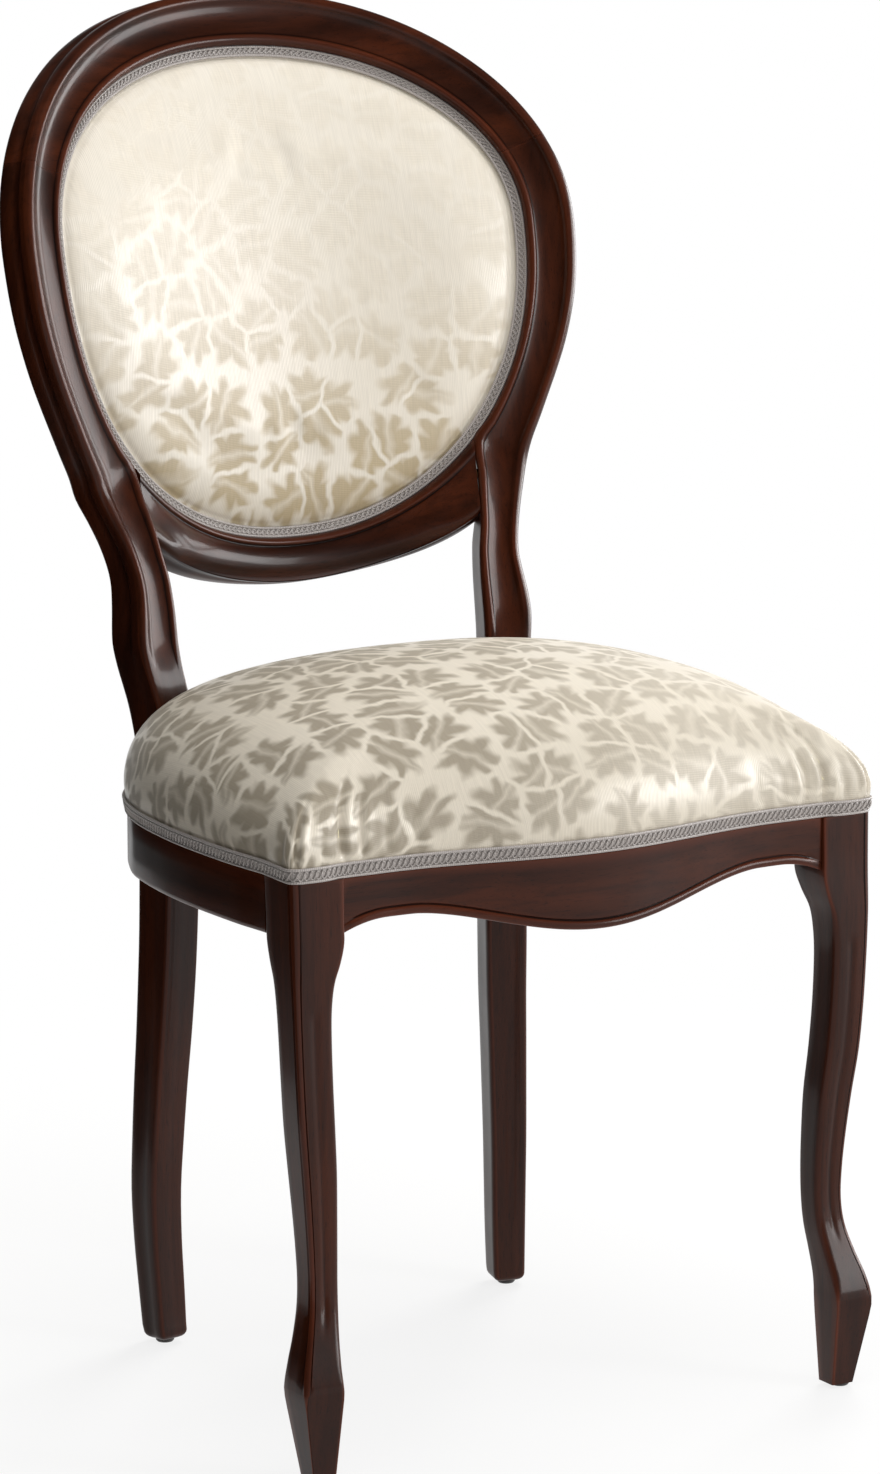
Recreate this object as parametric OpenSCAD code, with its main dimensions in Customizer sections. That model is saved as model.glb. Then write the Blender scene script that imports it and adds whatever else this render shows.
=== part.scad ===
// Dining chair with an oval upholstered back, cabriole front legs and a stuffed-over seat.
// Millimetres. X to the sitter's left, Y from front to back, Z up from the floor.
// The chair is drawn with Y = 0 on the front posts' faces and centred on Y = 0 at the end.

/* [Seat frame] */
// Width over the two front posts
front_w = 482; // [450:1:520]
// Height of the gimp line, where the show wood of the seat frame ends
gimp_z = 430; // [410:1:450]
// Height of the rails above the gimp line, under the seat cover
rail_rebate_h = 22; // [18:0.5:28]
// Depth of the rebate that takes the cover
rebate_d = 3.4; // [2.8:0.1:5]
// Distance from the front posts' faces to the rear legs' front corners
rear_leg_y = 331.5; // [315:0.5:350]
// Half the width over the rear legs' front corners, at the seat
rear_leg_x = 156; // [150:0.5:162]
// Turn of the rear legs' faces towards the middle of the chair, in degrees
rear_leg_turn = 18; // [14:0.5:21]
// Height of the side rails' show wood
side_rail_h = 42; // [36:1:48]
// Thickness of the side rails at the front
side_rail_t = 26; // [22:0.5:30]
// Thickness of the rear rail
rear_rail_t = 22; // [18:0.5:24]

/* [Front rail] */
// Height of the front rail's show wood at its arches
arch_h = 31.5; // [28:0.5:36]
// Depth of the middle drop below the arches
drop_h = 23; // [12:0.5:28]
// How far the middle of the front rail bows forward
bow_d = 21; // [8:0.5:26]
// How far the front rail's face lies behind the posts' faces
rail_set = 3; // [1:0.25:5]
// Distance from the posts' faces to the front rail's back
rail_back_y = 27; // [24:0.5:32]
// Height of the bead along the front rail's lower edge
bead_h = 6.5; // [4:0.5:8]
// How far the bead stands out
bead_d = 1.8; // [1:0.1:2.6]

/* [Front legs] */
// Width of the square post
post_w = 41; // [38:0.5:46]
// Chamfer down the outer corner of the front legs
arris_w = 5; // [3:0.25:7]
// Edge rounding of the front legs' other corners
leg_edge = 1.6; // [1:0.1:3]
// How far the front feet stand in from the posts, across the chair
foot_in = 8.5; // [0:0.5:12]
// How far the front feet stand forward of the posts
foot_out = 8.5; // [0:0.5:12]

/* [Rear legs and oval back] */
// Face width of the rear legs at the seat
stile_w = 34; // [30:0.5:38]
// Depth of the rear legs at the seat, front to back
stile_t = 36; // [32:0.5:40]
// Half width of the upholstered oval
oval_half_w = 198.5; // [188:0.5:208]
// Rise of the oval above its widest line, measured up the rake
oval_rise = 139; // [125:0.5:155]
// Drop of the oval below its widest line, measured down the rake
oval_drop = 238; // [225:0.5:245]
// Height of the oval's widest line
oval_z = 827.5; // [815:0.5:850]
// Distance from the posts' faces to the back's face, on the middle line of the oval
oval_y = 471; // [455:0.5:485]
// Rake of the back, in degrees
back_rake = 13.5; // [11:0.5:16]
// How far the back is hollowed between its middle and the oval's sides
back_hollow = 61.5; // [45:0.5:70]
// Width of the show face at the oval's sides
ring_side_w = 34; // [30:0.5:38]
// Width of the show face at the top of the crest
ring_top_w = 42; // [36:0.5:48]
// Width of the show face at the bottom of the oval
ring_low_w = 33.5; // [28:0.5:38]
// Thickness of the wood round the oval
ring_t = 31; // [28:0.5:34]
// Depth of the flute in the show face
flute_d = 5; // [3:0.25:6.5]

/* [Upholstery] */
// Height of the seat's crown above the gimp line
crown_h = 113; // [90:1:125]
// Thickness of the cover cloth
cloth_t = 1.4; // [1:0.1:2]
// Height of the gimp braid
gimp_h = 12; // [9:0.5:14]
// Thickness of the gimp braid
gimp_t = 2.4; // [1.8:0.1:3]
// Crown of the back pad in front of the show wood's face
pad_crown = 13; // [6:0.5:18]
// Width of the webbing straps
strap_w = 50; // [40:1:52]
// Thickness of the webbing straps
strap_t = 1.4; // [1:0.1:2]

/* [Inner parts] */
// Diameter of the dowels
dowel_d = 8; // [6:0.5:9]
// Length of the dowels
dowel_l = 32; // [26:1:36]
// Width of the tacking frame inside the oval
tack_frame_w = 20; // [16:0.5:24]
// Thickness of the tacking frame inside the oval
tack_frame_t = 15; // [12:0.5:16]
// Height of the corner blocks
block_h = 36; // [28:1:40]
// Shank diameter of the screws
screw_d = 4; // [3:0.25:5]
// Diameter of the glides under the feet
glide_d = 14; // [12:0.5:16]
// Thickness of the glides
glide_h = 3; // [2:0.25:5]

/* [Hidden] */
WOOD = "#4a2a20";
DAMASK = "#ddd3c0";
GIMP = "#b0aaa8";
LINEN = "#b59b6c";

// Clearances: a glued wood joint, a dowel in its bore, layers of soft parts
glue_gap = 0.3;
dowel_gap = 0.1;
layer_gap = 0.3;
housing_gap = 0.8;
// Overrun of every cut past the surface that it cuts, and room at the end of a blind bore
over = 2;
bore_end = 1;
// Smoothness of true circles
$fn = 32;

// Vectors and smooth curves

function unit(v) = v / norm(v);
function mix(a, b, s) = a + (b - a) * s;
function clamp01(s) = min(1, max(0, s));
function power(s, e) = sign(s) * pow(abs(s), e);
// Catmull-Rom curve through the rows of a table, at row number u
function row_at(rows, i) = rows[min(len(rows) - 1, max(0, i))];
function curve_at(rows, u) =
    let (i = min(len(rows) - 2, max(0, floor(u))), s = u - i,
        a = row_at(rows, i - 1), b = rows[i], c = rows[i + 1], d = row_at(rows, i + 2))
    b + 0.5 * s * (c - a + s * (2 * a - 5 * b + 4 * c - d + s * (3 * (b - c) + d - a)));
// The same curve at a value of the table's first column
function find_row(rows, x, i = 0) =
    i >= len(rows) - 2 || x < rows[i + 1][0] ? i : find_row(rows, x, i + 1);
function look(rows, x) =
    let (i = find_row(rows, x),
        s = clamp01((x - rows[i][0]) / (rows[i + 1][0] - rows[i][0])))
    curve_at(rows, i + s)[1];

// Solid between a row of rings that all have the same number of points.
// The points run anticlockwise as seen against the direction of the row.
module skin(rings, loop = false) {
    n = len(rings[0]);
    m = len(rings);
    last = loop ? m - 1 : m - 2;
    sides = [for (k = [0:last], i = [0:n - 1])
        let (a = k * n, b = ((k + 1) % m) * n, j = (i + 1) % n)
        each [[a + i, b + i, b + j], [a + i, b + j, a + j]]];
    caps = loop ? [] : [[for (i = [0:n - 1]) i], [for (i = [n - 1:-1:0]) (m - 1) * n + i]];
    polyhedron([for (r = rings) each r], concat(sides, caps), convexity = 8);
}
// Places children with their +Z along a direction
module along(p, d) {
    translate(p) rotate([0, acos(d.z / norm(d)), atan2(d.y, d.x)]) children();
}
// Shapes a piece for the right side, or its mirror image for the left side
module on_side(side) {
    if (side < 0) mirror([1, 0, 0]) children();
    else children();
}

// The oval back: a face raked back and hollowed between its sides.
// A point on it is [across, up the rake from the widest line].

oval_power_share = 2.16;
face_turn_share = 0.9;
half_turn = 180;
crest_joint_deg = 20;
low_joint_deg = 44;
rake_dir = [0, sin(back_rake), cos(back_rake)];
outer_half_w = oval_half_w + ring_side_w;
function on_back(p) = [p.x, oval_y - back_hollow * pow(p.x / oval_half_w, 2), oval_z] + p.y * rake_dir;
function face_slope(x) = face_turn_share * 2 * back_hollow * x / pow(oval_half_w, 2);
function face_normal(x) =
    unit([-face_slope(x) * rake_dir.z, -rake_dir.z, rake_dir.y]);
function egg(half, rise, drop, a) =
    [half * power(cos(a), 2 / oval_power_share),
        (sin(a) > 0 ? rise : drop) * power(sin(a), 2 / oval_power_share)];
function oval_at(a, inset = 0) =
    egg(oval_half_w - inset, oval_rise - inset, oval_drop - inset, a);
// Outline of the back's cheeks: share of the way down to the lower joint, share of the half width
cheek_shares = [[0, 1], [0.25, 0.984], [0.5, 0.936], [0.75, 0.862], [1, 0.79]];
cheek_dip_share = 1.1;
cheek_end = -oval_at(-low_joint_deg).y * cheek_dip_share;
function cheek_at(a) =
    let (v = oval_at(a).y * cheek_dip_share) [outer_half_w * look(cheek_shares, -v / cheek_end), v];
function ring_outer(a) =
    a >= 0 ? egg(outer_half_w, oval_rise + ring_top_w, oval_drop, a) : cheek_at(a);
// A station is [inner point, vector across the show face, face normal, thickness, flute share]
function ring_station(a) =
    let (i = oval_at(a), o = ring_outer(a), k = face_slope(i.x), d = o - i)
    [on_back(i), [d.x, -k * d.x, 0] + d.y * rake_dir, face_normal(i.x), ring_t, 1];

// Section of the show wood: [distance from the inner edge, height above the face's plane].
// From inside: a step, a bead, a broad flute, an outer ridge and a square back.
function show_section(w, t, flute) =
    let (e = t * 0.09, f = flute_d * flute)
    [[e, -t], [0, e - t], [0, -0.2 * t], [0.035 * w, -0.05 * t], [0.11 * w, 0],
        [0.19 * w, -0.16 * f], [0.3 * w, -0.66 * f], [0.45 * w, -f - 0.02 * t],
        [0.6 * w, -f - 0.03 * t], [0.74 * w, -0.7 * f - 0.04 * t], [0.85 * w, -0.3 * f - 0.05 * t],
        [0.94 * w, -0.3 * f - 0.08 * t], [w, -0.3 * f - 0.2 * t], [w, e - t], [w - e, -t]];
function section_at(st) =
    let (u = unit(st[1]))
    [for (p = show_section(norm(st[1]), st[3], st[4])) st[0] + u * p.x + st[2] * p.y];

// Rear legs. Each row: share of the height, outer front corner across and back, face width,
// depth, turn, drop of the outer edge below the inner edge, flute. Below the gimp line the places
// are shares of the leg's width, above it they are shares of the way to the oval's lower joint.
low_leg_shares = [
    [0, 0.14, 0.29, 0.75, 0.71, 0.83, 0, 0], [0.09, 0.19, 0.35, 0.795, 0.75, 0.83, 0, 0],
    [0.18, 0.24, 0.405, 0.825, 0.78, 0.83, 0, 0], [0.27, 0.26, 0.415, 0.853, 0.81, 0.84, 0, 0],
    [0.36, 0.226, 0.365, 0.88, 0.84, 0.86, 0, 0], [0.46, 0.176, 0.294, 0.91, 0.87, 0.88, 0, 0],
    [0.55, 0.118, 0.215, 0.94, 0.9, 0.91, 0, 0], [0.65, 0.07, 0.126, 0.965, 0.93, 0.95, 0, 0],
    [0.74, 0.03, 0.074, 0.97, 0.95, 0.98, 0, 0], [0.84, 0.01, 0.03, 0.98, 0.97, 1, 0, 0],
    [0.93, 0, 0.01, 0.99, 0.985, 1, 0, 0]];
stile_shares = [
    [0, 0, 0, 1, 1, 1, 0, 0], [0.14, 0.036, 0.03, 1, 1.01, 1, 0, 0],
    [0.277, 0.16, 0.116, 1.015, 1.02, 1, 0, 0], [0.392, 0.34, 0.23, 1.07, 1.02, 1, 0, 0.1],
    [0.485, 0.446, 0.316, 1.12, 1.01, 1, 0, 0.8], [0.577, 0.375, 0.41, 1.06, 0.99, 1.05, 0.18, 1],
    [0.669, 0.293, 0.537, 0.94, 0.96, 1.1, 0.43, 1], [0.739, 0.34, 0.63, 0.87, 0.93, 1.16, 0.61, 1],
    [0.822, 0.5, 0.745, 0.93, 0.9, 1.28, 0.79, 1], [0.9, 0.714, 0.87, 1.03, 0.88, 1.4, 0.92, 1]];
join = ring_station(-low_joint_deg);
join_outer = join[0] + join[1];
join_dip = join[0].z - join_outer.z;
function leg_station(outer, w, t, turn, dip, flute) =
    let (d = [w * cos(turn), -w * sin(turn), -dip], n = [-sin(turn), -cos(turn), 0])
    [outer - d, d, n, t, flute];
function low_leg_station(r) =
    leg_station([rear_leg_x + stile_w * r[1], rear_leg_y + stile_w * r[2], mix(glide_h, gimp_z, r[0])],
        stile_w * r[3], stile_t * r[4], rear_leg_turn * r[5], 0, r[7]);
function stile_station(r) =
    leg_station([mix(rear_leg_x, join_outer.x, r[1]), mix(rear_leg_y, join_outer.y, r[2]),
        mix(gimp_z, join_outer.z, r[0])], stile_w * r[3], stile_t * r[4],
        rear_leg_turn * r[5], join_dip * r[6], r[7]);
stile_steps = 2;
stile_stations = [for (k = [0:(len(stile_shares) - 1) * stile_steps])
    stile_station(curve_at(stile_shares, k / stile_steps))];
ring_steps = 13;
joint_half = glue_gap / 2 / oval_half_w * 180 / PI;
rear_leg_stations = concat([for (r = low_leg_shares) low_leg_station(r)], stile_stations,
    [for (k = [0:ring_steps])
        ring_station(mix(-low_joint_deg, crest_joint_deg - joint_half, k / ring_steps))]);

// Point on a rear leg at the seat, by shares of its face and depth, right side
seat_turn_dir = [cos(rear_leg_turn), -sin(rear_leg_turn), 0];
seat_front_dir = [-sin(rear_leg_turn), -cos(rear_leg_turn), 0];
function leg_point(face_share, depth_share, z) =
    [rear_leg_x, rear_leg_y, z] - seat_turn_dir * stile_w * (1 - face_share)
        - seat_front_dir * stile_t * depth_share;
// The space that a rear leg takes at the seat, as a plan with room round it
module leg_housing(gap) {
    a = leg_point(0, 0, 0);
    translate([a.x, a.y]) rotate(-rear_leg_turn)
        translate([-gap, -gap]) square([stile_w + 2 * gap, stile_t * 1.02 + 2 * gap]);
}
module leg_housings(gap, z0, z1) {
    for (side = [-1, 1]) on_side(side)
        translate([0, 0, z0]) linear_extrude(z1 - z0) leg_housing(gap);
}
// The same space where the legs lean out above the gimp line
function leg_quad(st, gap, down = 0) =
    let (u = unit([st[1].x, st[1].y, 0]), n = st[2], w = norm(st[1]), a = st[0] - [0, 0, down])
    [a - u * gap - n * (st[3] + gap), a + (n - u) * gap, a + u * (w + gap) + n * gap,
        a + u * (w + gap) - n * (st[3] + gap)];
seat_stile_rows = 6;
module leg_wells(gap) {
    for (side = [-1, 1]) on_side(side)
        skin(concat([leg_quad(stile_stations[0], gap, over)],
            [for (k = [0:seat_stile_rows]) leg_quad(stile_stations[k], gap)]));
}

// Places of the dowels, as [point on the joint, direction into the second piece]
rail_top_z = gimp_z + rail_rebate_h;
side_rail_z = gimp_z - side_rail_h;
arch_z = gimp_z - arch_h;
front_dowel_z = [mix(arch_z, rail_top_z, 0.22), mix(arch_z, rail_top_z, 0.7)];
side_dowel_z = [mix(side_rail_z, rail_top_z, 0.3), mix(side_rail_z, rail_top_z, 0.6)];
post_in_x = front_w / 2 - post_w;
front_dowels = [for (z = front_dowel_z) [[post_in_x, post_w * 0.38, z], [1, 0, 0]]];
side_front_dowels = [for (z = side_dowel_z) [[front_w / 2 - post_w * 0.36, post_w, z], [0, 1, 0]]];
side_rear_dowels = [for (z = side_dowel_z)
    [leg_point(0.8, 0, z), -seat_front_dir]];
rear_rail_dowels = [for (z = front_dowel_z) [leg_point(0, 0.4, z), seat_turn_dir]];
crest_joint = ring_station(crest_joint_deg);
crest_dowels = [for (s = [0.3, 0.7])
    [crest_joint[0] + crest_joint[1] * s - crest_joint[2] * ring_t * 0.56,
        unit(cross(crest_joint[2], crest_joint[1]))]];
module dowel(d, l) {
    along(d[0], d[1]) translate([0, 0, -l / 2]) cylinder(d = dowel_d, h = l);
}
module dowel_bore(d) {
    along(d[0], d[1]) translate([0, 0, -dowel_l / 2 - bore_end])
        cylinder(d = dowel_d + 2 * dowel_gap, h = dowel_l + 2 * bore_end);
}

// Lower back rail: the lower arc of the oval, between the two legs

stile_corner_row = 15;
corner_station = stile_stations[stile_corner_row];
corner = corner_station[0];
// Points of the rail's underside, from the left joint (-1) to the right joint (1)
function underside(b) =
    let (x = corner.x * b, flat = on_back([x, -oval_drop - ring_low_w]),
        s = pow(abs(b), 2), f = pow(abs(b), 3), up = corner.z - flat.z,
        ahead = corner.y - (flat.y + up * rake_dir.y / rake_dir.z))
    flat + [0, up * s * rake_dir.y / rake_dir.z + ahead * f, up * s];
function low_rail_station(b) =
    let (a = -90 + (90 - low_joint_deg) * b, i = oval_at(a), p = on_back(i), d = underside(b) - p,
        n0 = face_normal(i.x), n = unit(n0 - d * (n0 * d) / (d * d)))
    [p, d, n, ring_t, mix(1, 0.6, pow(abs(b), 4))];
low_rail_steps = 22;
low_rail_end = 1 - glue_gap * 6 / oval_half_w;
low_dowels = [for (s = [0.42, 0.72])
    let (e = low_rail_station(1))
    [e[0] + e[1] * s - e[2] * ring_t * 0.48, unit(cross(e[1], e[2]))]];

// Front legs. Each row: share of the height, how far the outer corner swells out and the leg's
// width, as shares of the post's width.
front_leg_shares = [
    [1, 0, 1], [0.93, 0.005, 0.984], [0.895, 0.01, 0.982], [0.862, 0.015, 0.9], [0.83, 0.016, 0.79],
    [0.79, 0.01, 0.735], [0.744, 0, 0.71], [0.67, -0.024, 0.698], [0.59, -0.07, 0.69],
    [0.512, -0.155, 0.66], [0.44, -0.222, 0.612], [0.38, -0.262, 0.575], [0.326, -0.27, 0.553],
    [0.28, -0.216, 0.571], [0.235, -0.083, 0.634], [0.2, 0.045, 0.71], [0.172, 0.125, 0.76],
    [0.155, 0.15, 0.775]];
foot_shares = [[0.14, 0.14, 0.755], [0, -0.09, 0.44]];
function front_leg_ring(r) =
    let (s = r[0], w = post_w * r[2], z = mix(glide_h, gimp_z, s), out = post_w * r[1],
        x1 = front_w / 2 + out - foot_in * (1 - s), y0 = -out - foot_out * (1 - s),
        x0 = x1 - w, y1 = y0 + w, c = arris_w * r[2], e = leg_edge)
    [[x0 + e, y0, z], [x1 - c, y0, z], [x1 - 0.3 * c, y0 + 0.3 * c, z], [x1, y0 + c, z],
        [x1, y1 - e, z], [x1 - e, y1, z], [x0 + e, y1, z], [x0, y1 - e, z], [x0, y0 + e, z]];
leg_steps = 2;
front_leg_rings = concat(
    [for (k = [(len(front_leg_shares) - 1) * leg_steps:-1:0])
        front_leg_ring(curve_at(front_leg_shares, k / leg_steps))]);
foot_rings = [for (k = [len(foot_shares) - 1:-1:0]) front_leg_ring(foot_shares[k])];

// Front rail: bowed in plan, with a middle drop between two arches and a bead

front_half = post_in_x - glue_gap;
bow_span_share = 0.82;
drop_span_share = 0.72;
curl_span_share = 0.18;
curl_h = arch_h * 0.25;
function rail_front(x) =
    rail_set - bow_d * pow(cos(90 * clamp01(abs(x) / front_half / bow_span_share)), 2);
function rail_low(x) =
    let (s = abs(x) / front_half, c = clamp01((s - 1 + curl_span_share) / curl_span_share))
    arch_z - drop_h * pow(cos(90 * clamp01(s / drop_span_share)), 1.6) - curl_h * c * c;
rail_steps = 44;
rail_xs = [for (k = [0:rail_steps]) front_half * (2 * k / rail_steps - 1)];
// Plan of the rail between its face, set back or forward, and its back
module rail_plan(set) {
    polygon(concat([for (x = rail_xs) [x, rail_front(x) + set]],
        [[front_half, rail_back_y], [-front_half, rail_back_y]]));
}
// Everything between two heights above the rail's underside, or below a flat top
module rail_elevation(low, high, top = 0) {
    upper = top > 0 ? [[front_half, top], [-front_half, top]]
        : [for (x = backwards(rail_xs)) [x, rail_low(x) + high]];
    translate([0, rail_back_y + over, 0]) rotate([90, 0, 0])
        linear_extrude(rail_back_y + bow_d + 2 * over + bead_d)
            polygon(concat([for (x = rail_xs) [x, rail_low(x) + low]], upper));
}
module rail_slab(set, z0, z1) {
    translate([0, 0, z0]) linear_extrude(z1 - z0) rail_plan(set);
}
rail_foot_z = arch_z - drop_h - curl_h;
// Steps of the bead: from and to, up its height, and how far it stands out
bead_shares = [[0, 1, 0.5], [0.18, 0.82, 1]];

// Side rails. Rows: share of the way back from post to rear leg, share of the way in from the
// post's outer face to the rear leg's front corner for the outer face, and from the plain
// thickness to the rear leg's inner corner for the inner face.

side_shares = [[0, 0.014], [0.12, -0.023], [0.35, -0.037], [0.53, 0.006], [0.72, 0.113],
    [0.86, 0.312], [0.95, 0.525], [1.02, 0.723], [1.08, 0.922]];
side_in_shares = [[0, 0], [0.45, 0.017], [0.68, 0.108], [0.8, 0.266], [0.9, 0.552], [0.98, 0.934],
    [1.05, 1.2]];
side_run = rear_leg_y - post_w;
function side_y(s) = post_w + side_run * s;
function side_x(s) = mix(front_w / 2, rear_leg_x, look(side_shares, s));
function side_in_x(s) = mix(side_x(s) - side_rail_t, leg_point(0, 0, 0).x, look(side_in_shares, s));
side_end_share = 1.08;
side_steps = [for (k = [0:22]) side_end_share * k / 22];
side_nudge_share = 0.01;
side_in_n = 16;
side_in_end_share = 0.985;
// Points of the inner face with a gap before it, from the front to the rear leg
function side_in_points(gap, first = 0) = [for (k = [first:side_in_n])
    let (s = side_in_end_share * k / side_in_n) [side_in_x(s) - gap, side_y(s)]];
function backwards(list) = [for (i = [len(list) - 1:-1:0]) list[i]];
module side_outline(inset) {
    polygon(concat(
        [for (s = side_steps)
            let (a = side_x(s + side_nudge_share) - side_x(s - side_nudge_share),
                b = 2 * side_nudge_share * side_run, l = norm([a, b]))
            [side_x(s) - inset * b / l, side_y(s) + inset * a / l]],
        [[leg_point(0.3, 0.4, 0).x, leg_point(0.3, 0.4, 0).y]], backwards(side_in_points(0))));
}
module side_plan(inset) {
    difference() {
        side_outline(inset);
        leg_housing(glue_gap);
        translate([post_in_x - over, 0]) square([post_w + 2 * over, post_w + glue_gap]);
    }
}

// Rear rail between the rear legs

rear_rail_y = leg_point(0, 0.14, 0).y;
rear_back_y = rear_rail_y + rear_rail_t;
function rear_end_x(y) = leg_point(0, 0, 0).x + (y - leg_point(0, 0, 0).y) * tan(rear_leg_turn) - glue_gap;

// Plan of the seat's upholstery, right half from the front to the back, then closed by symmetry

front_plan = [for (k = [0:8]) let (x = front_half * k / 8) [x, rail_front(x)]];
corner_plan = [[front_w / 2 - post_w * 0.62, 0], [front_w / 2 - post_w * 0.22, 0],
    [front_w / 2 - post_w * 0.06, post_w * 0.05], [front_w / 2, post_w * 0.2]];
side_plan_pts = [for (s = [0, 0.13, 0.26, 0.4, 0.53, 0.65, 0.76, 0.85, 0.92, 0.98, 1.04])
    [side_x(s), side_y(s)]];
rear_edge_y = rear_back_y + rebate_d;
rear_plan = [[rear_leg_x - stile_w * 0.22, rear_edge_y - stile_w * 0.18],
    [rear_leg_x - stile_w * 0.8, rear_edge_y],
    each [for (k = [4:-1:0]) [rear_leg_x * 0.62 * k / 4, rear_edge_y]]];
half_plan = concat(front_plan, corner_plan, side_plan_pts, rear_plan);
plan_n = len(half_plan);
seat_plan = concat(half_plan, [for (i = [plan_n - 2:-1:1]) [-half_plan[i].x, half_plan[i].y]]);
seat_n = len(seat_plan);
// Outward direction at each point of the plan
seat_normals = [for (i = [0:seat_n - 1])
    let (d = seat_plan[(i + 1) % seat_n] - seat_plan[(i + seat_n - 1) % seat_n]) unit([d.y, -d.x])];
seat_mid = [0, rear_leg_y * 0.545];
// The plan softens into a rounded oblong towards the crown
soft_x = front_w / 2;
soft_y = rear_edge_y * 0.5;
soft_power_share = 2.5;
function soft_point(p) =
    let (d = unit(p - seat_mid), e = soft_power_share)
    seat_mid + d / pow(pow(abs(d.x) / soft_x, e) + pow(abs(d.y) / soft_y, e), 1 / e);
// Rings of the seat: share of the plan, share of the crown's height, share of softening
crown_shares = [[1, 0, 0], [1.012, 0.14, 0], [1.01, 0.283, 0.04], [0.985, 0.45, 0.2],
    [0.93, 0.602, 0.45], [0.84, 0.73, 0.7], [0.7, 0.837, 0.9], [0.5, 0.926, 1], [0.26, 0.982, 1]];
// The cover hangs in the rails' rebate, behind the gimp's line
cover_inset = layer_gap * 3;
// Pleats at the front corners: two plan points at each corner are drawn in over the roll's height
pleat_d = 3.2;
pleat_points = [9, 12];
pleat_rings = [0, 0.5, 1, 1, 0.4, 0, 0, 0, 0];
function is_pleat(i) = len([for (k = pleat_points) if (i == k || i == seat_n - k) 1]) > 0;
function seat_point(i, k, inset) =
    let (r = crown_shares[k], p = mix(seat_plan[i], soft_point(seat_plan[i]), r[2]),
        dip = inset + (is_pleat(i) ? pleat_d * pleat_rings[k] : 0),
        q = seat_mid + (p - seat_mid) * r[0] - seat_normals[i] * dip)
    [q.x, q.y, gimp_z + (crown_h - inset) * r[1]];
function seat_ring(k, inset) = [for (i = [0:seat_n - 1]) seat_point(i, k, inset)];
function seat_apex(inset) = [seat_mid.x, seat_mid.y, gimp_z + crown_h - inset];
// Closed dome over the seat's plan: rings from the bottom up and an apex
module dome(rings, apex) {
    n = len(rings[0]);
    m = len(rings);
    sides = [for (k = [0:m - 2], i = [0:n - 1]) let (a = k * n, b = a + n, j = (i + 1) % n)
        each [[a + i, b + i, b + j], [a + i, b + j, a + j]]];
    top = [for (i = [0:n - 1]) [(m - 1) * n + i, m * n, (m - 1) * n + (i + 1) % n]];
    polyhedron([for (r = rings) each r, apex], concat(sides, top, [[for (i = [0:n - 1]) i]]), convexity = 6);
}
// The same dome as a shell of cloth, open underneath
module cloth_dome(out_rings, out_apex, in_rings, in_apex) {
    n = len(out_rings[0]);
    m = len(out_rings);
    o = m * n + 1;
    outer = [for (k = [0:m - 2], i = [0:n - 1]) let (a = k * n, b = a + n, j = (i + 1) % n)
        each [[a + i, b + i, b + j], [a + i, b + j, a + j]]];
    inner = [for (f = outer) [f[0] + o, f[2] + o, f[1] + o]];
    top = [for (i = [0:n - 1]) [(m - 1) * n + i, m * n, (m - 1) * n + (i + 1) % n]];
    under = [for (f = top) [f[0] + o, f[2] + o, f[1] + o]];
    rim = [for (i = [0:n - 1]) let (j = (i + 1) % n) each [[i, j, j + o], [i, j + o, i + o]]];
    polyhedron(concat([for (r = out_rings) each r], [out_apex], [for (r = in_rings) each r], [in_apex]),
        concat(outer, inner, top, under, rim), convexity = 6);
}

// Webbing

hessian_t = 0.8;
web_z = rail_top_z + layer_gap;
strap_x_shares = [-0.61, -0.215, 0.215, 0.61];
strap_y_shares = [0.19, 0.4, 0.61, 0.82];
long_x = [for (s = strap_x_shares) s * rear_leg_x];
cross_y = [for (s = strap_y_shares) s * rear_leg_y];
strap_y0 = rail_set + rebate_d * 2;
strap_y1 = rear_back_y - strap_t * 2;
weave = strap_t / 2 + layer_gap / 2;
function side_s(y) = (y - post_w) / side_run;
function cross_end(y) = side_in_x(side_s(y)) + side_rail_t * 0.62;
// Height of a strap's middle at its place along the strap: low at the ends, over and under between
function weave_z(p, crossings, first) =
    let (near = [for (k = [0:len(crossings) - 1]) if (abs(p - crossings[k]) < strap_w * 0.6) k])
    strap_mid_z + (len(near) > 0 && (near[0] + first) % 2 == 0 ? weave : -weave);
strap_land = rail_back_y * 0.5;
function strap_cuts(p0, p1, crossings) =
    concat([p0, p0 + strap_land], [for (c = crossings) each [c - strap_w * 0.58, c + strap_w * 0.58]],
        [p1 - strap_land, p1]);
strap_mid_z = web_z + weave + strap_t / 2;
strap_end_z = strap_mid_z - weave + strap_t / 2;
tack_share = 0.26;
long_tacks = [for (x = long_x, s = [-tack_share, tack_share],
    y = [rail_back_y * 0.62, rear_rail_y + rear_rail_t * 0.5])
    [x + s * strap_w, y]];
cross_tacks = [for (y = cross_y, s = [-tack_share, tack_share], side = [-1, 1])
    [side * (cross_end(y) - side_rail_t * 0.3), y + s * strap_w]];
tack_head_d = 6;
tack_head_h = 0.8;
tack_shank_d = 1.6;
tack_l = 10;
tack_gap = 0.05;
// Cut tacks have a square shank
module tack(z, down = 1) {
    translate([0, 0, z]) mirror([0, 0, down > 0 ? 0 : 1]) {
        cylinder(d = tack_head_d, h = tack_head_h, $fn = 10);
        translate([0, 0, -tack_l]) cylinder(d = tack_shank_d, h = tack_l + tack_head_h / 2, $fn = 4);
    }
}
module tack_bore(z, down = 1) {
    translate([0, 0, z - (down > 0 ? tack_l + bore_end : bore_end)])
        cylinder(d = tack_shank_d + 2 * tack_gap, h = tack_l + 2 * bore_end, $fn = 4);
}

// Screws

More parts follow.
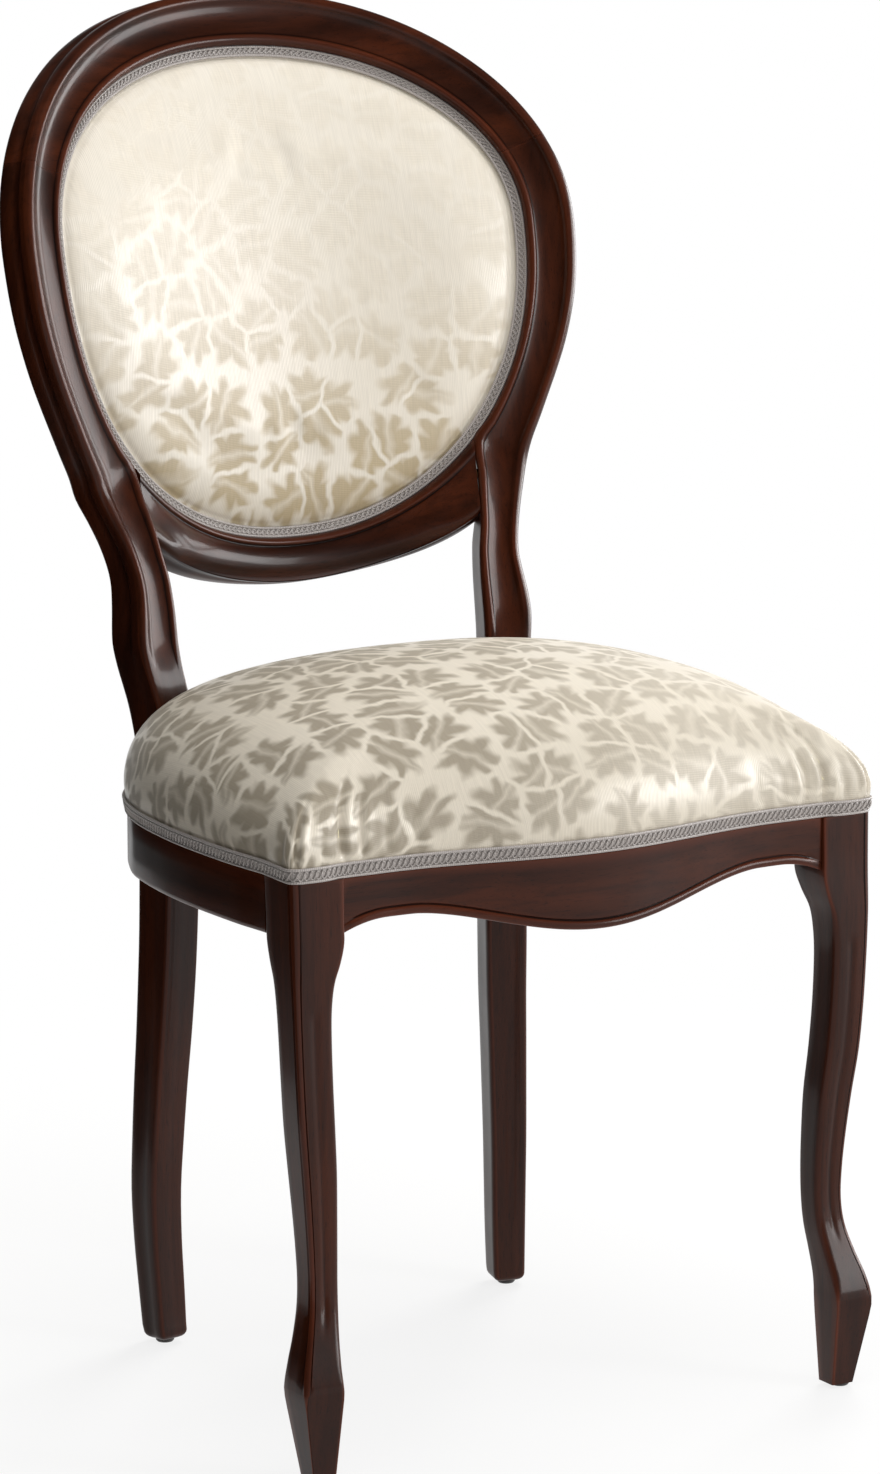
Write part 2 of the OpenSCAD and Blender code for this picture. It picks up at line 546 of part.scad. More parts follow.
screw_head_d = screw_d * 2;
screw_head_h = screw_d * 0.6;
screw_gap = 0.1;
block_clamp = 18;
rail_bite = 12;
block_rise = 1;
block_z = arch_z + block_rise;
block_mid_z = block_z + block_h * 0.5;
module screw(p, d, l) {
    along(p, d) {
        cylinder(d = screw_d, h = l);
        translate([0, 0, -screw_head_h]) cylinder(d = screw_head_d, h = screw_head_h);
    }
}
module screw_bore(p, d, l, sink = 0) {
    along(p, d) {
        translate([0, 0, -over]) cylinder(d = screw_d + 2 * screw_gap, h = l + bore_end + over);
        if (sink > 0) translate([0, 0, -sink]) cylinder(d = screw_head_d + 4 * screw_gap, h = sink);
    }
}
// Front blocks: one screw into the front rail and one into the side rail, right side
front_block_reach = 52;
front_block_x = post_in_x - front_block_reach;
front_block_y = post_w + front_block_reach;
front_screws = [
    [[front_block_x + front_block_reach * 0.42, rail_back_y + glue_gap + block_clamp, block_mid_z],
        [0, -1, 0]],
    [[side_in_x(side_s(front_block_y * 0.86)) - glue_gap - block_clamp, front_block_y * 0.86,
        block_mid_z], [1, 0, 0]]];
screw_l = block_clamp + rail_bite;
// Rear blocks
rear_block_x = rear_leg_x * 0.56;
rear_block_k = 13;
rear_block_s = side_in_end_share * rear_block_k / side_in_n;
rear_screws = [
    [[rear_block_x + stile_w * 0.4, rear_rail_y - glue_gap - block_clamp, block_mid_z], [0, 1, 0]],
    [[side_in_x(0.84) - glue_gap - block_clamp, side_y(0.84), block_mid_z], [1, 0, 0]]];

// Layers of the back upholstery: heights above the face's plane

frame_face = -ring_t * 0.3 - cloth_t;
cover_edge = glue_gap * 2;
frame_back = frame_face - tack_frame_t;
web_face = frame_face + layer_gap + strap_t;
hessian_face = web_face + layer_gap + hessian_t;
pad_n = 48;
pad_angles = [for (k = [0:pad_n - 1]) 360 * k / pad_n];
pad_apex_p = [0, (oval_rise - oval_drop) / 2];
// Rings run from the oval's edge to its middle, drawn towards the middle of its height
function pad_ring(share, inset, h) =
    [for (a = pad_angles) let (p = oval_at(a, inset), q = mix(pad_apex_p, p, share))
        on_back(q) + face_normal(q.x) * h];
function pad_apex(h) = on_back(pad_apex_p) + face_normal(0) * h;
// Front rings of the pad: share of the way out, share of the rise from the tacking frame
pad_shares = [[1, 0], [0.952, 0.05], [0.93, 0.27], [0.875, 0.52], [0.78, 0.73], [0.6, 0.9], [0.34, 0.98]];
pad_rise = pad_crown - frame_face;
// Closed lens between front rings and back rings of the pad
module lens(front_rings, front_apex, back_rings, back_apex) {
    n = len(front_rings[0]);
    m = len(front_rings);
    b = len(back_rings);
    o = m * n + 1;
    front = [for (k = [0:m - 2], i = [0:n - 1]) let (p = k * n, q = p + n, j = (i + 1) % n)
        each [[p + i, q + i, q + j], [p + i, q + j, p + j]]];
    back = [for (k = [0:1:b - 2], i = [0:n - 1]) let (p = o + k * n, q = p + n, j = (i + 1) % n)
        each [[p + i, q + j, q + i], [p + i, p + j, q + j]]];
    front_cap = [for (i = [0:n - 1]) [(m - 1) * n + i, m * n, (m - 1) * n + (i + 1) % n]];
    back_cap = [for (i = [0:n - 1]) [o + (b - 1) * n + i, o + (b - 1) * n + (i + 1) % n, o + b * n]];
    rim = [for (i = [0:n - 1]) let (j = (i + 1) % n) each [[i, o + j, o + i], [i, j, o + j]]];
    points = concat([for (r = front_rings) each r], [front_apex], [for (r = back_rings) each r],
        [back_apex]);
    polyhedron(points,
        concat(front, back, front_cap, back_cap, rim), convexity = 6);
}
frame_angles = [for (k = [0:63]) 360 * k / 64];
function tack_frame_ring(a) =
    let (o = oval_at(a, glue_gap), i = oval_at(a, tack_frame_w), n = face_normal(o.x))
    [on_back(i) + n * frame_face, on_back(o) + n * frame_face,
        on_back(o) + n * frame_back, on_back(i) + n * frame_back];
// Screws that hold the tacking frame to the show wood, from the inside outwards
frame_screw_angles = [0, 62, 118, 180, 242, 298];
frame_screw_bite = 20;
frame_screw_l = tack_frame_w * 0.72 + frame_screw_bite;
frame_screws = [for (a = frame_screw_angles)
    let (i = oval_at(a, tack_frame_w), o = oval_at(a, 0), d = unit(on_back(o) - on_back(i)))
    [on_back(i) + face_normal(i.x) * (frame_face + frame_back) / 2 + d * tack_frame_w * 0.28, d]];

// Wood

module rear_leg(side) {
    color(WOOD) on_side(side) difference() {
        skin([for (s = rear_leg_stations) section_at(s)]);
        for (d = concat(side_rear_dowels, rear_rail_dowels, crest_dowels, low_dowels)) dowel_bore(d);
        screw_bore(frame_screws[0][0], frame_screws[0][1], frame_screw_l);
        translate([glide_x_rear, glide_y_rear, 0]) glide_bore();
    }
}
module rear_leg_left() {
    rear_leg(-1);
}
module rear_leg_right() {
    rear_leg(1);
}
module crest_rail() {
    from = crest_joint_deg + joint_half;
    steps = 28;
    color(WOOD) difference() {
        skin([for (k = [0:steps]) section_at(ring_station(mix(from, half_turn - from, k / steps)))]);
        for (side = [-1, 1]) on_side(side) for (d = crest_dowels) dowel_bore(d);
        for (k = [1, 2]) screw_bore(frame_screws[k][0], frame_screws[k][1], frame_screw_l);
    }
}
module lower_back_rail() {
    color(WOOD) difference() {
        skin([for (k = [0:low_rail_steps])
            section_at(low_rail_station(low_rail_end * (2 * k / low_rail_steps - 1)))]);
        for (side = [-1, 1]) on_side(side) for (d = low_dowels) dowel_bore(d);
        for (k = [4, 5]) screw_bore(frame_screws[k][0], frame_screws[k][1], frame_screw_l);
    }
}
module front_leg(side) {
    w = front_w / 2;
    color(WOOD) on_side(side) difference() {
        union() {
            skin(concat(foot_rings, front_leg_rings));
            translate([0, 0, gimp_z - over]) linear_extrude(rail_rebate_h + over)
                polygon([[post_in_x, rail_set + rebate_d], [w - post_w * 0.62, rebate_d],
                    [w - post_w * 0.22, rebate_d],
                    [w - post_w * 0.06 - rebate_d * 0.8, post_w * 0.05 + rebate_d * 0.8],
                    [w - rebate_d, post_w * 0.24], [side_x(0) - rebate_d, post_w],
                    [post_in_x, post_w]]);
        }
        for (d = concat(front_dowels, side_front_dowels)) dowel_bore(d);
        translate([glide_x_front, glide_y_front, 0]) glide_bore();
    }
}
module front_leg_left() {
    front_leg(-1);
}
module front_leg_right() {
    front_leg(1);
}
module front_rail() {
    color(WOOD) difference() {
        union() {
            intersection() {
                rail_slab(0, rail_foot_z, gimp_z);
                rail_elevation(0, 0, gimp_z + over);
            }
            rail_slab(rebate_d, gimp_z - over, rail_top_z);
            for (b = bead_shares) intersection() {
                rail_slab(-bead_d * b[2], rail_foot_z, gimp_z);
                rail_elevation(bead_h * b[0], bead_h * b[1]);
            }
        }
        for (side = [-1, 1]) on_side(side) {
            for (d = front_dowels) dowel_bore(d);
            screw_bore(front_screws[0][0], front_screws[0][1], screw_l);
        }
        for (p = long_tacks) if (p.y < rear_leg_y / 2) translate([p.x, p.y, 0]) tack_bore(strap_end_z);
    }
}
module side_rail(side) {
    color(WOOD) on_side(side) difference() {
        union() {
            translate([0, 0, side_rail_z]) linear_extrude(side_rail_h) side_plan(0);
            translate([0, 0, gimp_z - over]) linear_extrude(rail_rebate_h + over) side_plan(rebate_d);
        }
        for (d = concat(side_front_dowels, side_rear_dowels)) dowel_bore(d);
        screw_bore(front_screws[1][0], front_screws[1][1], screw_l);
        screw_bore(rear_screws[1][0], rear_screws[1][1], screw_l);
        for (p = cross_tacks) if (p.x > 0) translate([p.x, p.y, 0]) tack_bore(strap_end_z);
    }
}
module side_rail_left() {
    side_rail(-1);
}
module side_rail_right() {
    side_rail(1);
}
module rear_rail() {
    a = rear_end_x(rear_rail_y);
    b = rear_end_x(rear_back_y);
    color(WOOD) difference() {
        translate([0, 0, side_rail_z]) linear_extrude(rail_top_z - side_rail_z)
            polygon([[-a, rear_rail_y], [a, rear_rail_y], [b, rear_back_y], [-b, rear_back_y]]);
        for (side = [-1, 1]) on_side(side) {
            for (d = rear_rail_dowels) dowel_bore(d);
            screw_bore(rear_screws[0][0], rear_screws[0][1], screw_l);
        }
        for (p = long_tacks) if (p.y > rear_leg_y / 2) translate([p.x, p.y, 0]) tack_bore(strap_end_z);
    }
}
module front_block(side) {
    g = glue_gap;
    px = post_in_x - g;
    py = post_w + g;
    y1 = front_block_y;
    color("#b98d5a") on_side(side) difference() {
        translate([0, 0, block_z]) linear_extrude(block_h) polygon([
            [front_block_x, rail_back_y + g], [px, rail_back_y + g], [px, py],
            [side_in_x(0) - g, py], [side_in_x(side_s(y1)) - g, y1],
            [side_in_x(side_s(y1)) - g - block_clamp * 0.7, y1],
            [front_block_x, rail_back_y + g + block_clamp * 0.7]]);
        for (s = front_screws) screw_bore(s[0], s[1], screw_l, front_block_reach);
        for (p = front_dust_tacks) translate([p.x, p.y, 0]) tack_bore(dust_z, -1);
    }
}
module front_block_left() {
    front_block(-1);
}
module front_block_right() {
    front_block(1);
}
module rear_block(side) {
    g = glue_gap;
    color("#b98d5a") on_side(side) difference() {
        translate([0, 0, block_z]) linear_extrude(block_h) difference() {
            polygon([[rear_block_x, rear_rail_y - g], [leg_point(0.3, 0, 0).x, rear_rail_y - g],
                [side_in_x(rear_block_s), side_y(rear_block_s)],
                [side_in_x(rear_block_s) - g - block_clamp, side_y(rear_block_s)],
                [rear_block_x, rear_rail_y - g - block_clamp * 0.7]]);
            leg_housing(glue_gap);
            translate([-g, 0]) side_outline(0);
        }
        for (s = rear_screws) screw_bore(s[0], s[1], screw_l, front_block_reach);
        for (p = rear_dust_tacks) translate([p.x, p.y, 0]) tack_bore(dust_z, -1);
    }
}
module rear_block_left() {
    rear_block(-1);
}
module rear_block_right() {
    rear_block(1);
}

// Fasteners and feet

module block_screws() {
    color("silver") for (side = [-1, 1]) on_side(side)
        for (s = concat(front_screws, rear_screws)) screw(s[0], s[1], screw_l);
}
module seat_frame_dowels() {
    color("#c79a62") for (side = [-1, 1]) on_side(side)
        for (d = concat(front_dowels, side_front_dowels, side_rear_dowels, rear_rail_dowels))
            dowel(d, dowel_l);
}
module back_frame_dowels() {
    color("#c79a62") for (side = [-1, 1]) on_side(side)
        for (d = concat(crest_dowels, low_dowels)) dowel(d, dowel_l);
}
rear_foot = low_leg_station(low_leg_shares[0]);
rear_foot_mid = rear_foot[0] + rear_foot[1] / 2 - rear_foot[2] * rear_foot[3] / 2;
glide_x_rear = rear_foot_mid.x;
glide_y_rear = rear_foot_mid.y;
front_foot_mid = (foot_rings[0][1] + foot_rings[0][3] + foot_rings[0][5] + foot_rings[0][7]) / 4;
glide_x_front = front_foot_mid.x;
glide_y_front = front_foot_mid.y;
glide_pin_d = 2.4;
glide_pin_l = 14;
module glide_bore() {
    translate([0, 0, glide_h - over])
        cylinder(d = glide_pin_d + 2 * dowel_gap, h = glide_pin_l + over + bore_end);
}
module foot_glides() {
    color("#2b2724") for (side = [-1, 1], p = [[glide_x_front, glide_y_front], [glide_x_rear, glide_y_rear]])
        translate([side * p.x, p.y, 0]) {
            cylinder(d1 = glide_d * 0.86, d2 = glide_d, h = glide_h * 0.4);
            translate([0, 0, glide_h * 0.4]) cylinder(d = glide_d, h = glide_h * 0.6);
            cylinder(d = glide_pin_d, h = glide_h + glide_pin_l);
        }
}

// Oval back upholstery

module tacking_frame() {
    color("#c79a62") difference() {
        skin([for (a = frame_angles) tack_frame_ring(a)], true);
        for (s = frame_screws) screw_bore(s[0], s[1], frame_screw_l, tack_frame_w);
    }
}
module tacking_frame_screws() {
    color("silver") for (s = frame_screws) screw(s[0], s[1], frame_screw_l);
}
back_strap_x = [for (s = [-0.5, 0, 0.5]) s * oval_half_w];
// End of a back strap: on the tacking frame, above or below the middle line
function oval_v(x, drop) =
    drop * pow(1 - pow(abs(x) / oval_half_w, oval_power_share), 1 / oval_power_share);
module back_webbing() {
    w = strap_w * 0.5;
    color(LINEN) for (x = back_strap_x) {
        x0 = x - w;
        x1 = x + w;
        far = max(abs(x0), abs(x1));
        v0 = tack_frame_w * 0.72 - oval_v(far, oval_drop);
        v1 = oval_v(far, oval_rise) - tack_frame_w * 0.72;
        h0 = frame_face + layer_gap;
        h1 = h0 + strap_t;
        skin([for (v = [v0, v1])
            [for (q = [[x0, h0], [x0, h1], [x, h1], [x1, h1], [x1, h0], [x, h0]])
                on_back([q[0], v]) + face_normal(x) * q[1]]]);
    }
}
module back_hessian() {
    h0 = web_face + layer_gap;
    inset = tack_frame_w * 0.67;
    h1 = h0 + hessian_t;
    ring_shares = [1, 0.7, 0.35];
    color(LINEN) lens([for (r = ring_shares) pad_ring(r, inset, h1)], pad_apex(h1),
        [for (r = ring_shares) pad_ring(r, inset, h0)], pad_apex(h0));
}
module back_foam() {
    g = layer_gap + cloth_t;
    base = frame_face + layer_gap;
    h0 = hessian_face + layer_gap;
    color("#e8dfc0") lens([for (k = [2:len(pad_shares) - 1]) let (r = pad_shares[k])
            pad_ring(r[0], cover_edge + g, base + (pad_crown - base) * r[1] - g)],
        pad_apex(pad_crown - g),
        [for (s = [0.93, 0.65, 0.33]) pad_ring(s, cover_edge + g, h0)], pad_apex(h0));
}
module back_cover() {
    g = cloth_t;
    n = pad_n;
    m = len(pad_shares);
    base = frame_face + layer_gap;
    o = m * n + 1;
    out = [for (r = pad_shares) pad_ring(r[0], cover_edge, base + (pad_crown - base) * r[1] + g)];
    in = [for (r = pad_shares) pad_ring(r[0], cover_edge + g * r[1], base + (pad_crown - base) * r[1])];
    outer = [for (k = [0:m - 2], i = [0:n - 1]) let (p = k * n, q = p + n, j = (i + 1) % n)
        each [[p + i, q + i, q + j], [p + i, q + j, p + j]]];
    inner = [for (f = outer) [f[0] + o, f[2] + o, f[1] + o]];
    cap = [for (i = [0:n - 1]) [(m - 1) * n + i, m * n, (m - 1) * n + (i + 1) % n]];
    under = [for (f = cap) [f[0] + o, f[2] + o, f[1] + o]];
    rim = [for (i = [0:n - 1]) let (j = (i + 1) % n) each [[i, j + o, i + o], [i, j, j + o]]];
    color(DAMASK) polyhedron(concat([for (r = out) each r], [pad_apex(pad_crown + g)],
        [for (r = in) each r], [pad_apex(pad_crown)]), concat(outer, inner, cap, under, rim), convexity = 6);
}
// Braid round the oval: a low rounded section between two insets
function braid_ring(a, inset, w, h0, h1) =
    let (n = face_normal(oval_at(a, inset).x), hm = mix(h0, h1, 0.6),
        q = [[w, h0], [w, hm], [w * 0.7, h1], [w * 0.3, h1], [0, hm], [0, h0]])
    [for (p = q) on_back(oval_at(a, inset + p[0])) + n * p[1]];
module back_gimp() {
    h0 = frame_face + layer_gap * 2 + cloth_t + pad_rise * pad_shares[1][1];
    color(GIMP) skin([for (k = [0:71]) braid_ring(5 * k, glue_gap, gimp_h * 0.72, h0, h0 + gimp_t)], true);
}
flat_shares = [1, 0.89, 0.62, 0.32];
module outside_back_cover() {
    h1 = frame_back - layer_gap * 1.5;
    h0 = h1 - cloth_t;
    inset = cover_edge;
    color(DAMASK) lens([for (s = flat_shares) pad_ring(s, inset, h1)], pad_apex(h1),
        [for (s = flat_shares) pad_ring(s, inset, h0)], pad_apex(h0));
}
module outside_back_gimp() {
    h1 = frame_back - layer_gap * 2.5 - cloth_t;
    color(GIMP) skin([for (k = [71:-1:0]) braid_ring(5 * k, glue_gap, gimp_h * 0.72, h1, h1 - gimp_t)], true);
}

// Seat upholstery

module strap_long(x, start) {
    cuts = strap_cuts(strap_y0, strap_y1, cross_y);
    skin([for (y = cuts) let (z = weave_z(y, cross_y, start))
        [[x - strap_w / 2, y, z - strap_t / 2], [x - strap_w / 2, y, z + strap_t / 2],
            [x + strap_w / 2, y, z + strap_t / 2], [x + strap_w / 2, y, z - strap_t / 2]]]);
}
module strap_cross(y, start) {
    e = min(cross_end(y - strap_w / 2), cross_end(y + strap_w / 2));
    cuts = strap_cuts(-e, e, long_x);
    skin([for (x = cuts) let (z = weave_z(x, long_x, start + 1))
        [[x, y + strap_w / 2, z - strap_t / 2], [x, y + strap_w / 2, z + strap_t / 2],
            [x, y - strap_w / 2, z + strap_t / 2], [x, y - strap_w / 2, z - strap_t / 2]]]);
}
module seat_webbing_lengthwise() {
    color(LINEN) difference() {
        for (k = [0:len(long_x) - 1]) strap_long(long_x[k], k);
        for (p = long_tacks) translate([p.x, p.y, 0]) tack_bore(strap_end_z);
    }
}
module seat_webbing_crosswise() {
    color(LINEN) difference() {
        for (k = [0:len(cross_y) - 1]) strap_cross(cross_y[k], k);
        for (p = cross_tacks) translate([p.x, p.y, 0]) tack_bore(strap_end_z);
    }
}
module webbing_tacks() {
    color("#3a3a3c") for (p = concat(long_tacks, cross_tacks)) translate([p.x, p.y, 0]) tack(strap_end_z);
}
hessian_z = strap_mid_z + weave + strap_t / 2 + layer_gap;
module seat_hessian() {
    color(LINEN) difference() {
        translate([0, 0, hessian_z]) linear_extrude(hessian_t)
            polygon([for (p = seat_plan) mix(seat_mid, p, 0.955)]);
        leg_housings(housing_gap, hessian_z - over, hessian_z + over);
    }
}
module seat_foam() {
    g = rebate_d + layer_gap;
    z0 = hessian_z + hessian_t + layer_gap;
    low = [for (p = seat_ring(2, g)) [p.x, p.y, z0]];
    color("#e8dfc0") difference() {
        dome(concat([low], [for (k = [2:len(crown_shares) - 1]) seat_ring(k, g)]), seat_apex(g));
        leg_wells(housing_gap);
    }
}
module seat_cover() {
    color(DAMASK) difference() {
        cloth_dome([for (k = [0:len(crown_shares) - 1]) seat_ring(k, cover_inset)], seat_apex(cover_inset),
            [for (k = [0:len(crown_shares) - 1]) seat_ring(k, cover_inset + cloth_t)],
            seat_apex(cover_inset + cloth_t));
        leg_wells(housing_gap);
    }
}
braid_shares = [[0, 0], [0.7, 0.06], [1, 0.3], [1, 0.7], [0.7, 0.94], [0, 1]];
// Place on the seat cover's foot, out from its face, where the gimp lies
function cover_foot(i, up, out) =
    let (s = gimp_h * up / (crown_h * crown_shares[1][1]),
        q = seat_mid + (seat_plan[i] - seat_mid) * mix(1, crown_shares[1][0], s)
            + seat_normals[i] * (out - cover_inset + layer_gap))
    [q.x, q.y, gimp_z + gimp_h * up];
module seat_gimp() {
    color(GIMP) difference() {
        skin([for (i = [seat_n - 1:-1:0])
            [for (q = braid_shares) cover_foot(i, q[1], gimp_t * q[0])]], true);
        leg_wells(housing_gap);
    }
}
dust_t = 0.8;
dust_z = block_z - layer_gap - dust_t;
front_dust_tacks = [[front_block_x + front_block_reach * 0.2, rail_back_y + block_clamp * 0.45],
    [side_in_x(side_s(front_block_y)) - block_clamp * 0.4, front_block_y - block_clamp * 0.25]];
rear_tack_y = side_y(rear_block_s) + block_clamp * 0.4;
rear_dust_tacks = [[rear_block_x + stile_w * 0.12, rear_rail_y - block_clamp * 0.45],
    [side_in_x(side_s(rear_tack_y)) - block_clamp * 0.55, rear_tack_y]];
module dust_cover() {
    g = glue_gap * 2;
    half = concat([[0, rail_back_y + g], [post_in_x - g, rail_back_y + g], [post_in_x - g, post_w + g]],
        side_in_points(g, 1), [[leg_point(0.3, 0, 0).x, rear_rail_y - g], [0, rear_rail_y - g]]);
    n = len(half);
    color("#1c1b1d") difference() {
        translate([0, 0, dust_z]) linear_extrude(dust_t)
            polygon(concat(half, [for (i = [n - 2:-1:1]) [-half[i].x, half[i].y]]));
        leg_housings(housing_gap, dust_z - over, dust_z + over);
        for (side = [-1, 1]) on_side(side)
            for (p = concat(front_dust_tacks, rear_dust_tacks))
                translate([p.x, p.y, 0]) tack_bore(dust_z, -1);
    }
}
module dust_cover_tacks() {
    color("#3a3a3c") for (side = [-1, 1]) on_side(side)
        for (p = concat(front_dust_tacks, rear_dust_tacks)) translate([p.x, p.y, 0]) tack(dust_z, -1);
}

// The chair is centred between its foremost and rearmost points
crest_back_y = max([for (p = section_at(ring_station(90))) p.y]);
cover_front_y = min([for (k = [1, 2]) each [for (p = seat_ring(k, cover_inset)) p.y]]);
gimp_front_y = min([for (q = braid_shares) cover_foot(0, q[1], gimp_t * q[0]).y]);
mid_y = (crest_back_y + min(cover_front_y, gimp_front_y)) / 2;
module placed() {
    translate([0, -mid_y, 0]) children();
}

placed() rear_leg_left();
placed() rear_leg_right();
placed() crest_rail();
placed() lower_back_rail();
placed() front_leg_left();
placed() front_leg_right();
placed() front_rail();
placed() side_rail_left();
placed() side_rail_right();
placed() rear_rail();
placed() front_block_left();
placed() front_block_right();
placed() rear_block_left();
placed() rear_block_right();
placed() block_screws();
placed() seat_frame_dowels();
placed() back_frame_dowels();
placed() tacking_frame();
placed() tacking_frame_screws();
placed() back_webbing();
placed() back_hessian();
placed() back_foam();
placed() back_cover();
placed() back_gimp();
placed() outside_back_cover();
placed() outside_back_gimp();
placed() seat_webbing_lengthwise();
placed() seat_webbing_crosswise();
placed() webbing_tacks();
placed() seat_hessian();
placed() seat_foam();
placed() seat_cover();
placed() seat_gimp();
placed() dust_cover();
placed() dust_cover_tacks();
placed() foot_glides();
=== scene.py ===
"""Dining chair with an oval upholstered back: the finished look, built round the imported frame.

Shapes are worked out in millimetres in the drawing's own frame, with Y = 0 on the front posts'
faces, and place() turns them into the row frame's metres.
"""

import math

import bmesh
import bpy
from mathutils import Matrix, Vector, noise


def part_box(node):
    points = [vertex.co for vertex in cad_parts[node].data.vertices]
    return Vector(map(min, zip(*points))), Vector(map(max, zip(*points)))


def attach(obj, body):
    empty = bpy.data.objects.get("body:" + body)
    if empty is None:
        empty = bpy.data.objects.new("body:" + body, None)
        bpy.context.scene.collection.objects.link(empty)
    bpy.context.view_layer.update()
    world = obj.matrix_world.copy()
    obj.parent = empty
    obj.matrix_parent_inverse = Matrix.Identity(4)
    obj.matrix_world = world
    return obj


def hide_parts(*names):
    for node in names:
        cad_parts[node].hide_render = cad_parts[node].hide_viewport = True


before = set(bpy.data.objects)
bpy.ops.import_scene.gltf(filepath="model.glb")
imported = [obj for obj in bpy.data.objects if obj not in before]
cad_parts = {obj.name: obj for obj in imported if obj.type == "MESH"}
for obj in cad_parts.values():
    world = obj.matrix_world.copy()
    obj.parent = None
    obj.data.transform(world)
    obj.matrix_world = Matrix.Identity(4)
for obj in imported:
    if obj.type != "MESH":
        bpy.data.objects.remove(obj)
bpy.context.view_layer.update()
scene = bpy.context.scene

MM = 0.001

# ---- measures of the chair, in mm
FRONT_W = 482
GIMP_Z = 430
REBATE_H = 22
REBATE_D = 3.4
REAR_LEG_Y = 331.5
REAR_LEG_X = 156
REAR_LEG_TURN = math.radians(18)
SIDE_RAIL_H = 42
SIDE_RAIL_T = 26
REAR_RAIL_T = 22
ARCH_H = 31.5
DROP_H = 23
BOW_D = 21
RAIL_SET = 3
RAIL_BACK_Y = 27
BEAD_H = 6.5
BEAD_D = 1.8
POST_W = 41
ARRIS_W = 5
FOOT_IN = 8.5
FOOT_OUT = 8.5
STILE_W = 34
STILE_T = 36
OVAL_HALF_W = 198.5
OVAL_RISE = 139
OVAL_DROP = 238
OVAL_Z = 827.5
OVAL_Y = 471
BACK_RAKE = math.radians(13.5)
BACK_HOLLOW = 61.5
RING_SIDE_W = 34
RING_TOP_W = 42
RING_LOW_W = 33.5
RING_T = 31
CROWN_H = 113
CLOTH_T = 1.4
GIMP_H = 12
PAD_CROWN = 13
TACK_FRAME_T = 15
GLIDE_H = 3
GLUE_GAP = 0.3
LAYER_GAP = 0.3
LEG_GAP = 0.8


# ---- curves
def mix(a, b, s):
    return a + (b - a) * s


def mix_row(a, b, s):
    return [mix(p, q, s) for p, q in zip(a, b)]


def clamp01(s):
    return min(1.0, max(0.0, s))


def smooth(low, high, x):
    """0 below low, 1 above high, and a soft step between them."""
    s = clamp01((x - low) / (high - low))
    return s * s * (3 - 2 * s)


def power(s, e):
    return math.copysign(abs(s) ** e, s)


def curve(rows, u):
    """Catmull-Rom curve through rows of numbers, at row number u."""
    i = min(len(rows) - 2, max(0, int(math.floor(u))))
    s = u - i
    a, b, c, d = (rows[min(len(rows) - 1, max(0, k))] for k in (i - 1, i, i + 1, i + 2))
    return [
        q + 0.5 * s * (r - p + s * (2 * p - 5 * q + 4 * r - t + s * (3 * (q - r) + t - p)))
        for p, q, r, t in zip(a, b, c, d)
    ]


def look(rows, x):
    """The same curve at a value of the rows' first column."""
    i = 0
    while i < len(rows) - 2 and x >= rows[i + 1][0]:
        i += 1
    return curve(rows, i + clamp01((x - rows[i][0]) / (rows[i + 1][0] - rows[i][0])))[1]


# ---- the back's hollowed face
OVAL_POWER = 2.16
FACE_TURN = 0.9
CREST_JOINT = 20
LOW_JOINT = 44
RAKE_DIR = Vector((0, math.sin(BACK_RAKE), math.cos(BACK_RAKE)))
OUTER_HALF_W = OVAL_HALF_W + RING_SIDE_W


def on_back(x, v):
    return Vector((x, OVAL_Y - BACK_HOLLOW * (x / OVAL_HALF_W) ** 2, OVAL_Z)) + v * RAKE_DIR


def off_back(x, v, h):
    """A point at a height over the back's face, in the row frame."""
    return place(on_back(x, v) + face_normal(x) * h)


def face_slope(x):
    return FACE_TURN * 2 * BACK_HOLLOW * x / OVAL_HALF_W**2


def face_normal(x):
    return Vector((-face_slope(x) * RAKE_DIR.z, -RAKE_DIR.z, RAKE_DIR.y)).normalized()


def egg(half, rise, drop, a):
    c, s = math.cos(math.radians(a)), math.sin(math.radians(a))
    return half * power(c, 2 / OVAL_POWER), (rise if s > 0 else drop) * power(s, 2 / OVAL_POWER)


def oval_at(a, inset=0.0):
    return egg(OVAL_HALF_W - inset, OVAL_RISE - inset, OVAL_DROP - inset, a)


CHEEKS = [[0, 1], [0.25, 0.984], [0.5, 0.936], [0.75, 0.862], [1, 0.79]]
CHEEK_DIP = 1.1
CHEEK_END = -oval_at(-LOW_JOINT)[1] * CHEEK_DIP


def ring_outer(a):
    if a >= 0:
        return egg(OUTER_HALF_W, OVAL_RISE + RING_TOP_W, OVAL_DROP, a)
    v = oval_at(a)[1] * CHEEK_DIP
    return OUTER_HALF_W * look(CHEEKS, -v / CHEEK_END), v


# A station of the moulded wood: inner point, vector across the face, face normal, thickness, flute
def ring_station(a):
    i, o = oval_at(a), ring_outer(a)
    k = face_slope(i[0])
    across = Vector((o[0] - i[0], -k * (o[0] - i[0]), 0)) + (o[1] - i[1]) * RAKE_DIR
    return [*on_back(*i), *across, *face_normal(i[0]), RING_T, 1]


# ---- rear legs
# Rows of the leg below the seat: share of the height, outer face along X and Y in widths, width,
# depth and turn as shares
LOW_LEG = [
    [0, 0.14, 0.29, 0.75, 0.71, 0.83], [0.09, 0.19, 0.35, 0.795, 0.75, 0.83],
    [0.18, 0.24, 0.405, 0.825, 0.78, 0.83], [0.27, 0.26, 0.415, 0.853, 0.81, 0.84],
    [0.36, 0.226, 0.365, 0.88, 0.84, 0.86], [0.46, 0.176, 0.294, 0.91, 0.87, 0.88],
    [0.55, 0.118, 0.215, 0.94, 0.9, 0.91], [0.65, 0.07, 0.126, 0.965, 0.93, 0.95],
    [0.74, 0.03, 0.074, 0.97, 0.95, 0.98], [0.84, 0.01, 0.03, 0.98, 0.97, 1],
    [0.93, 0, 0.01, 0.99, 0.985, 1],
]
